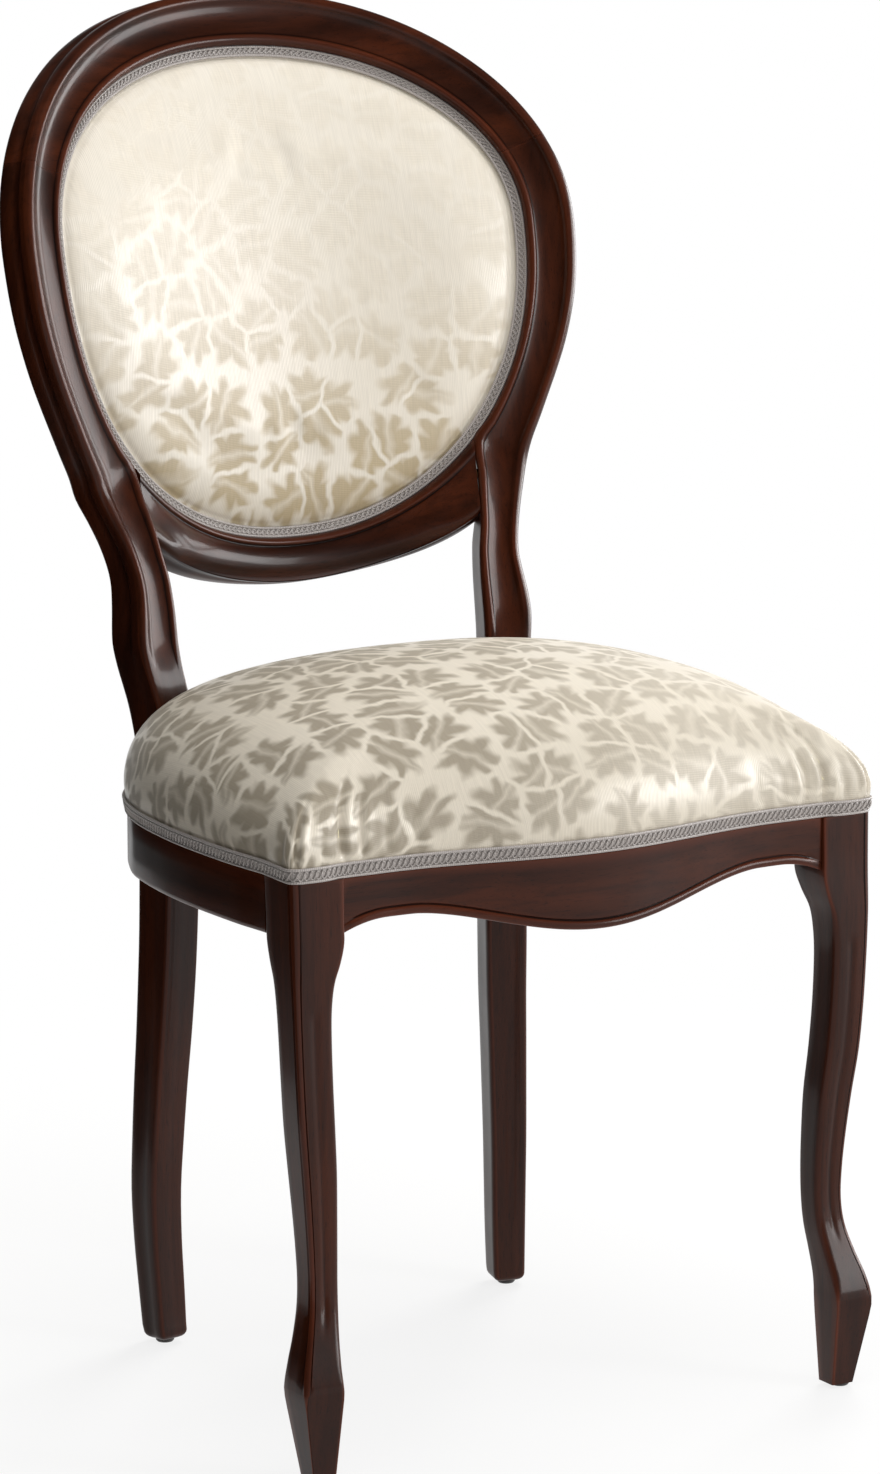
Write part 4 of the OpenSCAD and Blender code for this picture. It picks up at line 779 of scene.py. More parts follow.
def rayon_gimp(tree):
    """Woven rayon gimp: grey-lilac cords of twisted silky yarn, with a soft shine on each turn and
    shadow where they cross."""
    along, round_it, _ = add(
        tree, "SeparateXYZ", {"Vector": add(tree, "UVMap", uv_map="cloth")}
    ).node.outputs
    lay = add(tree, "Math", {0: along, 1: 2 * math.pi / (1.5 * MM)}, operation="MULTIPLY")
    lay = add(tree, "Math", {0: round_it, 1: 2 * math.pi, 2: lay}, operation="MULTIPLY_ADD")
    twist = add(tree, "Math", {0: lay}, operation="SINE")
    spot = add(tree, "TexCoord", out="Object")
    tone = add(tree, "TexNoise", {"Vector": spot, "Scale": 1 / (14 * MM), "Detail": 2.0})
    yarn = add(tree, "Mix", {0: tone, 6: hue("#aca5a1"), 7: hue("#bcb4af")}, data_type="RGBA")
    span = {"Value": twist, "From Min": -1.0, "From Max": 0.2, "To Min": 0.45, "To Max": 0.0}
    shade = add(tree, "MapRange", span)
    yarn = add(tree, "Mix", {0: shade, 6: yarn, 7: hue("#827a78")}, data_type="RGBA")
    bump = add(tree, "Bump", {"Height": twist, "Strength": 0.5, "Distance": 0.15 * MM})
    finish = {"Base Color": yarn, "Roughness": 0.48, "Normal": bump}
    finish |= {"Sheen Weight": 0.25, "Sheen Roughness": 0.4}
    return add(tree, "BsdfPrincipled", finish)


def plain_weave(tree, pitch_mm, warp, weft, gap, dullness=0.85):
    """Plain tabby weave of coarse yarn: threads over and under each other, dull and hairy, with
    the holes between them painted dark: painted shade."""
    spot = add(tree, "SeparateXYZ", {"Vector": add(tree, "TexCoord", out="Object")}).node.outputs
    waves = []
    for axis in (0, 1):
        turns = {0: spot[axis], 1: math.pi / (pitch_mm * MM)}
        wave = add(tree, "Math", turns, operation="MULTIPLY")
        waves.append(add(tree, "Math", {0: wave}, operation="SINE"))
    cross = add(tree, "Math", {0: waves[0], 1: waves[1]}, operation="MULTIPLY")
    over = add(tree, "MapRange", {"Value": cross, "From Min": -0.2, "From Max": 0.2})
    yarn = add(tree, "Mix", {0: over, 6: hue(warp), 7: hue(weft)}, data_type="RGBA")
    rise = add(tree, "Math", {0: cross}, operation="ABSOLUTE")
    # Painted shade: the holes between the threads are darkened towards the gap colour.
    hole_shade = add(tree, "MapRange", {"Value": rise, "From Min": 0.12, "From Max": 0.0, "To Max": 0.8})
    fluff = add(tree, "TexNoise", {"Scale": 1 / (pitch_mm * 0.4 * MM), "Detail": 3.0})
    hairy = add(tree, "Math", {0: fluff, 1: 0.35}, operation="MULTIPLY")
    for share in (hole_shade, hairy):
        yarn = add(tree, "Mix", {0: share, 6: yarn, 7: hue(gap)}, data_type="RGBA")
    bump = add(tree, "Bump", {"Height": rise, "Strength": 0.6, "Distance": 0.3 * MM})
    return add(tree, "BsdfPrincipled", {"Base Color": yarn, "Roughness": dullness, "Normal": bump})


def open_foam(tree):
    """Polyurethane upholstery foam, cut: pale yellow, matt, with open cells a millimetre wide, each
    painted darker where it dips: painted shade.
    """
    spot = add(tree, "TexCoord", out="Object")
    cells = add(tree, "TexVoronoi", {"Vector": spot, "Scale": 1 / (1.4 * MM)})
    # Painted shade: darker in the middle of each cell, where the surface dips.
    colour = add(tree, "Mix", {0: cells, 6: hue("#d8cd9f"), 7: hue("#efe6c4")}, data_type="RGBA")
    bump = add(tree, "Bump", {"Height": cells, "Strength": 0.6, "Distance": 0.4 * MM})
    return add(tree, "BsdfPrincipled", {"Base Color": colour, "Roughness": 0.95, "Normal": bump})


def bright_steel(tree, colour):
    """Drawn steel wire, cut and headed, with fine scratches: greyish and fairly bright."""
    spot = add(tree, "TexCoord", out="Object")
    marks = add(tree, "TexNoise", {"Vector": spot, "Scale": 1 / (0.6 * MM), "Detail": 2.0})
    tint = add(tree, "Mix", {0: marks, 6: hue(colour), 7: hue("#6e6a66")}, data_type="RGBA")
    rough = add(tree, "MapRange", {"Value": marks, "To Min": 0.25, "To Max": 0.5})
    return add(tree, "BsdfPrincipled", {"Base Color": tint, "Metallic": 1.0, "Roughness": rough})


def moulded_nylon(tree):
    """Moulded dark nylon of the glides: nearly black, satin, scuffed paler underneath."""
    spot = add(tree, "TexCoord", out="Object")
    scuffs = add(tree, "TexNoise", {"Vector": spot, "Scale": 1 / (1.5 * MM), "Detail": 3.0})
    tint = add(tree, "Mix", {0: scuffs, 6: hue("#1b1817"), 7: hue("#3d3733")}, data_type="RGBA")
    bump = add(tree, "Bump", {"Height": scuffs, "Strength": 0.2, "Distance": 0.1 * MM})
    return add(tree, "BsdfPrincipled", {"Base Color": tint, "Roughness": 0.45, "Normal": bump})


X, Y, Z = 0, 1, 2
beech_upright = material("stained_beech_upright_grain", stained_beech, Z)
beech_across = material("stained_beech_grain_across", stained_beech, X)
beech_back = material("stained_beech_grain_front_to_back", stained_beech, Y)
# Seat and back are one damask: the back's copy is paler and its motif warmer, partly painted light.
shaded_seat_tones = ("#e7decd", "#dfd5c3"), ("#9f9482", "#ada28f")
lit_back_tones = ("#efe8db", "#e9e0d0"), ("#c6b490", "#bbaa8c")
# The seat's motif is painted fading towards its front right and the back's upwards: painted sheen.
seat_damask = material("damask_seat", damask, *shaded_seat_tones, (0.8, -0.6, 0), 0.04, 0.26, 0.5)
back_damask = material("damask_back", damask, *lit_back_tones, (0, 1, 0), -0.21, -0.03, 0.12)
gimp_yarn = material("rayon_gimp", rayon_gimp)
foam = material("polyurethane_foam", open_foam)


# ---- carved wood
HAND = {-1: "left", 1: "right"}
FOOT_ROUND = 6.0
EASED = 1.5
SIDE_EASED = 1.2
SIDE_END = 1.02
SIDE_IN_END = 0.985


def sided(rings, side):
    """Rings drawn for the right side, as they are there or on the left."""
    return [[(side * p[0], p[1], p[2]) for p in ring] for ring in rings]


def wood_piece(bm, name, grain, sharp=50):
    """A finished piece of the show wood."""
    obj = finish_mesh(bm, name + "_wood", grain, sharp)
    mark_turns(obj)
    add_piece(obj, "stained_beech", name)


def between(rows, steps):
    """The rows and the curve through them at steps places to a row."""
    return [curve(rows, k / steps) for k in range((len(rows) - 1) * steps + 1)]


def build_rear_leg(side):
    """The leg from its rounded foot up into the side of the oval."""
    stations = between(leg_stations, 3)
    rings = []
    for k in range(5, -1, -1):
        a = math.pi / 2 * k / 5
        ring = section_at(stations[0], FOOT_ROUND * (1 - math.cos(a)))
        rings.append([(p.x, p.y, GLIDE_H + FOOT_ROUND * (1 - math.sin(a))) for p in ring])
    rings += [section_at(s) for s in stations if s[2] > GLIDE_H + FOOT_ROUND + 0.5]
    wood_piece(loft(sided(rings, side)), "rear_leg_" + HAND[side], beech_upright)


def build_back_rails():
    start = CREST_JOINT + joint_half
    rings = [section_at(ring_station(mix(start, 180 - start, k / 90))) for k in range(91)]
    wood_piece(loft(rings), "crest_rail", beech_across)
    rings = []
    for b in [k / 40 - 1 for k in range(81)]:
        # The inner wall stays square to the pad where the rail's face turns into the stiles
        wall = face_normal(oval_at(-90 + (90 - LOW_JOINT) * b)[0])
        roundness = 1 - smooth(0.72, 1.0, abs(b))
        rings.append(section_at(low_rail_station(b), roundness=roundness, wall=wall))
    wood_piece(loft(rings), "lower_back_rail", beech_across)


def build_front_leg(side):
    """The leg to its faceted foot, and its square head above the gimp line, under the cover."""
    rows = between(FRONT_LEG, 5) + [mix_row(FRONT_LEG[-1], FOOT[0], 0.5)]
    rows += [mix_row(*FOOT, k / 8) for k in range(9)]
    head = [
        (post_in_x, RAIL_SET + REBATE_D),
        (corner_xs[0], REBATE_D),
        (corner_xs[1], REBATE_D),
        (corner_xs[2] - REBATE_D * 0.8, corner_ys[2] + REBATE_D * 0.8),
        (FRONT_W / 2 - REBATE_D, POST_W * 0.24),
        (side_x(0) - REBATE_D, POST_W),
        (post_in_x, POST_W),
    ]
    head_rings = [[(x, y, z) for x, y in head] for z in (GIMP_Z - 2, rail_top_z)]
    body = [front_leg_ring(r) for r in rows]
    bm = gathered([loft(sided(body, side)), loft(sided(head_rings, side))])
    wood_piece(bm, "front_leg_" + HAND[side], beech_upright, sharp=32)


def front_rail_ring(x):
    """Section of the front rail: rebate for the cover, face, bead along the lower edge."""
    y, z, b = rail_front(x), rail_low(x), BEAD_H
    ends = 1 - smooth(0.93, 1.0, abs(x) / front_half)
    back, top, rebate = RAIL_BACK_Y, rail_top_z, y + REBATE_D
    ring = [(back - EASED, top), (rebate + EASED, top), (rebate, top - EASED)]
    ring += [(rebate, GIMP_Z + 0.4), (y + 0.6, GIMP_Z), (y, GIMP_Z - 0.6)]
    ring += [(y, mix(GIMP_Z - 0.6, z + b * 1.3, q)) for q in (0.25, 0.5, 0.75, 0.92)]
    ring += [(y + 0.1, z + b * 1.2), (y + 0.9 * ends, z + b * 1.08), (y + 0.5 * ends, z + b * 0.98)]
    for k in range(9):
        a = math.radians(mix(70, -80, k / 8))
        out = (BEAD_D * ends + 0.4) * math.cos(a)
        ring.append((y + 0.4 - out, z + b * 0.5 + b * 0.48 * math.sin(a)))
    ring += [(y + 2.4, z + 0.1), (mix(y, back, 0.5), z), (back - EASED, z), (back, z + EASED)]
    ring += [(back, mix(z, top, 0.5)), (back, top - EASED)]
    return [(x, *p) for p in ring]


def build_front_rail():
    rings = [front_rail_ring(front_half * (k / 60 - 1)) for k in range(121)]
    wood_piece(loft(rings), "front_rail", beech_across, sharp=40)


def build_side_rail(side):
    """Plan of the rail, drawn up in steps with a rounded lower edge and the cover's rebate."""
    low, e = GIMP_Z - SIDE_RAIL_H, SIDE_EASED
    # Rows: how far in from the outer face, height
    face = [(5.0, low), (1.6, low + 0.5), (0.4, low + 1.8), (0, low + 4)]
    face += [(0, mix(low + 4, GIMP_Z - 1, q)) for q in (0.33, 0.66, 1)]
    face += [(0.6, GIMP_Z), (REBATE_D, GIMP_Z + 0.3)]
    face += [(REBATE_D, rail_top_z - 1), (REBATE_D + 1, rail_top_z)]
    rings = []
    for k in range(41):
        s, s_in = SIDE_END * k / 40, SIDE_IN_END * k / 40
        n = Vector((0.02 * side_run, side_x(s - 0.01) - side_x(s + 0.01))).normalized()
        p, x, y = Vector((side_x(s), side_y(s))), side_in_x(s_in), side_y(s_in)
        ring = [(*(p - n * d), z) for d, z in face]
        ring += [(x + e, y, rail_top_z), (x, y, rail_top_z - e), (x, y, low + e), (x + e, y, low)]
        rings.append(ring)
    wood_piece(loft(sided(rings, side)), "side_rail_" + HAND[side], beech_back, sharp=40)


# ---- braid
BRAID_WAVE = 9.0
BAND_STEP = 4.0
CORD_STEP = 2.5
EDGE_CORD_R = 1.15
LACED_CORD_R = 0.85


def even_path(points, closed, step):
    """Resamples a path of (point, across, outward) at even steps."""
    lengths = [0.0]
    rows = points + points[:1] if closed else points
    for a, b in zip(rows, rows[1:]):
        lengths.append(lengths[-1] + (b[0] - a[0]).length)
    total = lengths[-1]
    count = int(round(total / step))
    out, k = [], 0
    for i in range(count if closed else count + 1):
        s = total * i / count
        while k < len(rows) - 2 and lengths[k + 1] < s:
            k += 1
        q = (s - lengths[k]) / max(1e-9, lengths[k + 1] - lengths[k])
        a, b = rows[k], rows[k + 1]
        out.append([mix(a[j], b[j], q) for j in range(3)] + [s])
    return out, total


def braid_cord(path, closed, across, out, radius, sides):
    """One cord of the braid: across and out give its middle at a distance along the path."""
    rings = []
    for p, side, face, s in path:
        mid = p + side * across(s) + face * out(s)
        turns = [2 * math.pi * k / sides for k in range(sides)]
        rings.append([mid + (side * math.cos(a) + face * math.sin(a)) * radius for a in turns])
    return loft(rings, closed, lay_of(path, closed))


def lay_of(path, closed):
    """Distances along a path in metres, for the yarn's twist."""
    lay = [row[3] * MM for row in path]
    return lay + [2 * lay[-1] - lay[-2]] if closed else lay


def build_braid(name, paths, width, slot, *replaced):
    """Gimp: a woven band between two edge cords, with two waved cords laced over it."""
    parts = []
    shape = [(0.4, 0.1), (0.4, 0.9), (width / 2, 1.25), (width - 0.4, 0.9), (width - 0.4, 0.1)]
    for points, closed in paths:
        band, total = even_path(points, closed, BAND_STEP)
        rings = [[p + side * a + face * h for a, h in shape] for p, side, face, _ in band]
        parts.append(loft(rings, closed, lay_of(band, closed)))
        waves = max(1, round(total / BRAID_WAVE))
        turn = 2 * math.pi * waves / total
        fine, _ = even_path(points, closed, total / (waves * 8))
        reach = width / 2 - 2 * EDGE_CORD_R - 0.2
        for phase in (0, math.pi):

            def across(s):
                return width / 2 + reach * math.sin(turn * s + phase)

            def lift(s):
                return 1.35 + 0.35 * math.cos(turn * s + phase)

            parts.append(braid_cord(fine, closed, across, lift, LACED_CORD_R, 6))
        cord, _ = even_path(points, closed, CORD_STEP)
        for at in (EDGE_CORD_R, width - EDGE_CORD_R):
            parts.append(braid_cord(cord, closed, lambda s: at, lambda s: 1.2, EDGE_CORD_R, 8))
    obj = finish_mesh(gathered(parts), name, gimp_yarn, sharp=None)
    add_piece(obj, slot, *replaced)


# ---- padded covers
def nested_disc(rings):
    """Surface of rings drawn in from an outline, its middle filled with a grid."""
    bm = bmesh.new()
    loops = [[bm.verts.new(p) for p in rings[0]]]
    n = len(rings[0])
    edges = [bm.edges.new((loops[0][i], loops[0][(i + 1) % n])) for i in range(n)]
    for ring in rings[1:]:
        made = bmesh.ops.extrude_edge_only(bm, edges=edges)["geom"]
        fresh = {g for g in made if isinstance(g, bmesh.types.BMVert)}
        points = [next_vert(v, fresh) for v in loops[-1]]
        for v, p in zip(points, ring):
            v.co = p
        edges = [bm.edges.get((points[i], points[(i + 1) % n])) for i in range(n)]
        loops.append(points)
    run = n // 4
    rails = [edges[(i - run // 2) % n] for i in range(run)]
    rails += [edges[(i - run // 2 + n // 2) % n] for i in range(run)]
    bmesh.ops.grid_fill(bm, edges=rails, use_smooth=True)
    known = {v for loop in loops for v in loop}
    bm.verts.index_update()
    return bm, loops, [v for v in bm.verts if v not in known]


DAMASK_CLOTH = {
    "quality": 6,
    "mass": 0.3,
    "vertex_group_mass": "tacked",
    "tension_stiffness": 25,
    "compression_stiffness": 25,
    "shear_stiffness": 10,
    "bending_stiffness": 2,
    "use_pressure": True,
}


def swell(obj, tacked, pressure, cap, frames=20):
    """Blows a cover up over its stuffing as cloth under pressure, held where it is tacked, and lets
    no point move further than cap."""
    before = [v.co.copy() for v in obj.data.vertices]
    group = obj.vertex_groups.new(name="tacked")
    group.add(tacked, 1.0, "REPLACE")
    cloth = obj.modifiers.new("Cloth", "CLOTH")
    for key, value in DAMASK_CLOTH.items():
        setattr(cloth.settings, key, value)
    cloth.settings.uniform_pressure_force = pressure
    cloth.settings.effector_weights.gravity = 0
    cloth.collision_settings.use_collision = False
    cloth.collision_settings.use_self_collision = False
    cloth.point_cache.frame_start, cloth.point_cache.frame_end = 1, frames
    for f in range(1, frames + 1):
        scene.frame_set(f)
    shown = obj.evaluated_get(bpy.context.evaluated_depsgraph_get())
    after = [v.co.copy() for v in shown.data.vertices]
    obj.modifiers.remove(cloth)
    obj.vertex_groups.remove(group)
    scene.frame_set(1)
    normals = [v.normal.copy() for v in obj.data.vertices]
    for v, a, b, n in zip(obj.data.vertices, before, after, normals):
        step = b - a
        step -= n * min(0.0, step.dot(n))
        if step.length > cap:
            step *= cap / step.length
        v.co = a + step


SMOOTHED = ("SUBSURF", {"levels": 1, "render_levels": 1})


def thick(thickness_mm, offset):
    """The modifier that gives a cloth its thickness."""
    settings = {"thickness": thickness_mm * MM, "offset": offset, "use_rim": True}
    return "SOLIDIFY", settings


def baked(obj, *modifiers):
    """Applies the given modifiers: the object gets the mesh that they make."""
    for kind, settings in modifiers:
        m = obj.modifiers.new(kind, kind)
        for key, value in settings.items():
            setattr(m, key, value)
    graph = bpy.context.evaluated_depsgraph_get()
    shown = obj.evaluated_get(graph)
    mesh = bpy.data.meshes.new_from_object(shown, preserve_all_data_layers=True, depsgraph=graph)
    obj.modifiers.clear()
    old = obj.data
    obj.data = mesh
    mesh.name = obj.name
    bpy.data.meshes.remove(old)


def set_cloth_uv(obj, places):
    layer = obj.data.uv_layers.new(name="cloth")
    for corner in obj.data.loops:
        layer.data[corner.index].uv = places[corner.vertex_index]


def leg_corners(station, gap):
    """Corners of a leg's section with a gap round it."""
    p, u, n, w, t = frame_of(station)
    across, deep = (-gap, w + gap), (gap, -t - gap)
    order = ((0, 0), (1, 0), (1, 1), (0, 1))
    return [p + u * across[i] + n * deep[j] for i, j in order]


def well_planes(side, gap):
    """The four faces of the well round a rear leg where it comes up through the seat cover."""
    low, high = stile_stations[0], stile_stations[5]
    faces = []
    for station in (low, high):
        p, u, n, w, t = frame_of(station)
        faces.append([p - u * gap, p + u * (w + gap), p + n * gap, p - n * (t + gap)])
    _, u, n, _, _ = frame_of(low)
    planes = []
    for a, b, out in zip(faces[0], faces[1], (-u, u, n, -n)):
        rise = b - a
        normal = (out - rise * out.dot(rise) / rise.dot(rise)).normalized()
        spot, facing = sided([[a, normal]], side)[0]
        planes.append((place(spot), Vector(facing)))
    return planes


def cut_leg_wells(obj, gap):
    """Cuts the cloth away where the rear legs pass through it."""
    bm = bmesh.new()
    bm.from_mesh(obj.data)
    for side in (-1, 1):
        planes = well_planes(side, gap)
        reach = 40 * MM
        mid = leg_point(0.5, 0.5)
        middle = place((side * mid.x, mid.y, 0))
        for spot, normal in planes:
            near = [f for f in bm.faces if (f.calc_center_median().xy - middle.xy).length < reach]
            bounds = {v for f in near for v in f.verts} | {e for f in near for e in f.edges}
            cut = {"dist": 0.05 * MM, "plane_co": spot, "plane_no": normal}
            bmesh.ops.bisect_plane(bm, geom=list(bounds) + near, **cut)
        inside = [
            f
            for f in bm.faces
            if all((f.calc_center_median() - spot).dot(normal) < 0 for spot, normal in planes)
        ]
        bmesh.ops.delete(bm, geom=inside, context="FACES")
    bm.to_mesh(obj.data)
    bm.free()


# Rows of CROWN: how far the cover's rings reach up, where the foam starts, how far the cover is
# tacked down
SEAT_SHARES = 7
FOAM_FIRST_ROW = 1.75
SEAT_TACKED = 0.75
# The cover's points lie closer near the front corners, where it is pleated
FINE_STEP = 3.2
COARSE_STEP = 6.5
PLEATED_MID = Vector((FRONT_W / 2 - 20, 12))
PLEATED_REACH = 62


def seat_surface(first, inset):
    """The seat's crowned form from row number first of CROWN upwards, drawn in by inset."""

    def step_at(p):
        away = (Vector((abs(p.x), p.y)) - PLEATED_MID).length
        return FINE_STEP if away < PLEATED_REACH else COARSE_STEP

    outline, outward = dense_plan(step_at)
    steps = [mix(first, SEAT_SHARES, k / 20) for k in range(21)]
    height = CROWN_H - inset
    soft = [soft_plan(p) for p in outline]
    rings = []
    for u in steps:
        share, rise, softness = curve(CROWN, u)
        ring = []
        for p, q, n in zip(outline, soft, outward):
            at = seat_mid + (mix(p, q, softness) - seat_mid) * share - n * inset
            ring.append(place((at.x, at.y, GIMP_Z + height * rise)))
        rings.append(ring)
    bm, loops, inner = nested_disc(rings)
    crown_end = [curve(CROWN, SEAT_SHARES + k / 10)[:2] for k in range(20, -1, -1)]
    for v in inner:
        q = Vector((v.co.x / MM, v.co.y / MM + mid_y))
        away = (q - seat_mid).length
        r = away / (soft_plan(q) - seat_mid).length if away > 1e-6 else 0
        v.co.z = (GIMP_Z + height * look(crown_end, r)) * MM
    return bm, loops, inner, steps, outward


def build_seat_foam():
    bm, loops, _, _, _ = seat_surface(FOAM_FIRST_ROW, LAYER_GAP * 4 + CLOTH_T)
    close_ring(bm, loops[0])
    obj = finish_mesh(bm, "seat_foam_block", foam, sharp=40)
    pleat_seat(obj)
    wells = []
    for side in (-1, 1):
        low, high = (leg_corners(stile_stations[k], LEG_GAP + 1.2) for k in (0, 7))
        wells.append(loft(sided([[(p.x, p.y, p.z - 8) for p in low], low, high], side)))
    cutter = finish_mesh(gathered(wells), "leg_wells_cutter", foam, sharp=None)
    baked(obj, ("BOOLEAN", {"operation": "DIFFERENCE", "object": cutter, "solver": "EXACT"}))
    bpy.data.objects.remove(cutter)
    add_piece(obj, "foam", "seat_foam")


# Cloth flatter than this lies as it runs. Steeper cloth is drawn this much straight outwards
FLAT_SHARE = 0.8
DRAWN_STRAIGHT = 0.65


def build_seat_cover():
    bm, loops, inner, steps, outward = seat_surface(0.0, LAYER_GAP * 3)
    places = {}
    # Cloth lies flat on the top and is drawn straight down the sides
    for i in range(len(outward)):
        chain = [loop[i] for loop in reversed(loops)]
        at = Vector((chain[0].co.x, chain[0].co.y))
        places[chain[0].index] = at.copy()
        for a, b in zip(chain, chain[1:]):
            step = b.co - a.co
            flat = Vector((step.x, step.y))
            ahead = way = flat.normalized()
            if flat.length <= 1e-9:
                way = outward[i]
            elif flat.length / step.length <= FLAT_SHARE:
                way = ahead.lerp(outward[i], DRAWN_STRAIGHT).normalized()
            at = at + way * step.length
            places[b.index] = at.copy()
    for v in inner:
        places[v.index] = Vector((v.co.x, v.co.y))
    tacked = [v.index for u, loop in zip(steps, loops) if u < SEAT_TACKED for v in loop]
    obj = finish_mesh(bm, "seat_cover_damask", seat_damask, sharp=None)
    set_cloth_uv(obj, places)
    swell(obj, tacked, pressure=4.0, cap=6.0 * MM)
    baked(obj, SMOOTHED)
    pleat_seat(obj)
    cut_leg_wells(obj, LEG_GAP)
    baked(obj, thick(1.2, -1.0))
    add_piece(obj, "damask", "seat_cover")


# Folds of the cover at a front corner. Rows: distance from the corner along the front, or along
# the side when below 0, depth, width, height where the fold dies out, lean along the edge
FOLDS = [
    [3, 4.6, 4.6, 492, 0.02], [-16, 2.0, 6.0, 470, 0.1], [-34, 1.2, 7.0, 466, 0.1],
    [27, 1.8, 6.0, 474, -0.1], [43, 3.2, 5.0, 506, -0.18], [58, 2.4, 5.6, 498, -0.16],
    [78, 1.4, 7.0, 480, -0.14], [104, 1.8, 7.0, 486, -0.2],
]


# Where the folds may reach: along the edge, back, up
FOLDS_ALONG, FOLDS_Y, FOLDS_Z = 140, 120, 520


def pleat_seat(obj):
    """Draws the folds that take up the cloth's fullness at the front corners."""
    mesh = obj.data
    normals = [v.normal.copy() for v in mesh.vertices]
    for v, n in zip(mesh.vertices, normals):
        x, y, z = v.co.x / MM, v.co.y / MM + mid_y, v.co.z / MM
        along = FRONT_W / 2 - abs(x) - y
        if abs(along) > FOLDS_ALONG or y > FOLDS_Y or z > FOLDS_Z:
            continue
        foot = smooth(GIMP_Z + GIMP_H - 2, GIMP_Z + GIMP_H + 8, z)
        move = 0.0
        for at, depth, width, top, lean in FOLDS:
            d = along - at - lean * (z - GIMP_Z)
            strength = foot * (1 - smooth(top - 30, top, z))
            groove = math.exp(-((d / (width * 0.45)) ** 2))
            roll = math.exp(-(((d - width * 1.05) / (width * 0.7)) ** 2))
            move += depth * strength * (0.45 * roll - groove)
        v.co = v.co + Vector((n.x, n.y, n.z * 0.3)) * move * MM


# The back's pad. Rows: share of the oval, share of the height
PAD_RINGS = [
    [1, 0], [0.952, 0.05], [0.93, 0.27], [0.875, 0.52], [0.78, 0.73], [0.6, 0.9],
    [0.34, 0.98], [0, 1],
]
pad_mid = Vector((0, (OVAL_RISE - OVAL_DROP) / 2))
frame_face = -RING_T * 0.3 - CLOTH_T
frame_back = frame_face - TACK_FRAME_T
COVER_EDGE = GLUE_GAP * 2
BACK_TACKED = 1.1


def oval_outline(count, inset):
    return [Vector(oval_at(360 * k / count, inset)) for k in range(count)]


def pad_rings(outline, shares):
    return [[(*(pad_mid + (p - pad_mid) * share), 0) for p in outline] for share in shares]


def oval_reach(direction, inset):
    """Distance from the pad's middle to the oval's edge in a direction."""
    low, high = 0.0, OVAL_DROP * 2
    for _ in range(30):
        r = (low + high) / 2
        q = pad_mid + direction * r
        tall = (OVAL_RISE if q.y > 0 else OVAL_DROP) - inset
        inside = abs(q.x / (OVAL_HALF_W - inset)) ** OVAL_POWER + abs(q.y / tall) ** OVAL_POWER < 1
        low, high = (r, high) if inside else (low, r)
    return low


def build_back_cover():
    outline = oval_outline(168, COVER_EDGE)
    steps = [k * 5 / 16 for k in range(17)]
    shares = [curve(PAD_RINGS, u)[0] for u in steps]
    bm, loops, inner = nested_disc(pad_rings(outline, shares))
    base = frame_face + LAYER_GAP
    rise = PAD_CROWN - base
    places = {v.index: Vector((v.co.x, v.co.y)) * MM for v in bm.verts}
    table = [curve(PAD_RINGS, k / 8) for k in range(56, -1, -1)]
    for u, loop in zip(steps, loops):
        h = base + rise * curve(PAD_RINGS, u)[1] + CLOTH_T
        for v in loop:
            v.co = off_back(v.co.x, v.co.y, h)
    for v in inner:
        q = Vector((v.co.x, v.co.y))
        away = q - pad_mid
        r = away.length / oval_reach(away.normalized(), COVER_EDGE) if away.length > 1e-6 else 0
        v.co = off_back(q.x, q.y, base + rise * look(table, r) + CLOTH_T)
    tacked = [v.index for u, loop in zip(steps, loops) if u < BACK_TACKED for v in loop]
    obj = finish_mesh(bm, "back_cover_damask", back_damask, sharp=None)
    set_cloth_uv(obj, places)
    swell(obj, tacked, pressure=3.0, cap=4.0 * MM)
    baked(obj, SMOOTHED, thick(1.0, -1.0))
    add_piece(obj, "damask", "back_cover")


def build_outside_back():
    outline = oval_outline(144, COVER_EDGE)
    bm, _, _ = nested_disc(pad_rings(outline, [1, 0.97, 0.93, 0.85, 0.74, 0.62]))
    h = frame_back - LAYER_GAP * 1.5
    places = {v.index: Vector((-v.co.x, v.co.y)) * MM for v in bm.verts}
    for v in bm.verts:
        x, y = v.co.x, v.co.y
        ripple = 0.25 * noise.noise(Vector((x / 60, y / 45, 3.0)))
        v.co = off_back(x, y, h + ripple)
    for f in bm.faces:
        f.normal_flip()
    obj = finish_mesh(bm, "outside_back_damask", back_damask, sharp=None)
    set_cloth_uv(obj, places)
    baked(obj, SMOOTHED, thick(1.2, 0.0))
    add_piece(obj, "damask", "outside_back_cover")


def build_back_gimps():
    width = GIMP_H * 0.72
    pad_rise = PAD_CROWN - frame_face
    front_h = frame_face + LAYER_GAP * 2 + CLOTH_T + pad_rise * PAD_RINGS[1][1]
    back_h = frame_back - LAYER_GAP * 2.5 - CLOTH_T
    for name, h, way, node in (
        ("back_gimp_braid", front_h, 1, "back_gimp"),
        ("outside_back_gimp_braid", back_h, -1, "outside_back_gimp"),
    ):
        points = []
        for k in range(360):
            i, o = oval_at(k, width), oval_at(k, 0)
            n = face_normal(o[0])
            a, b = on_back(*o) + n * h, on_back(*i) + n * h
            points.append((a, (b - a).normalized(), n * way))
        build_braid(name, [(points, True)], width, "gimp", node)


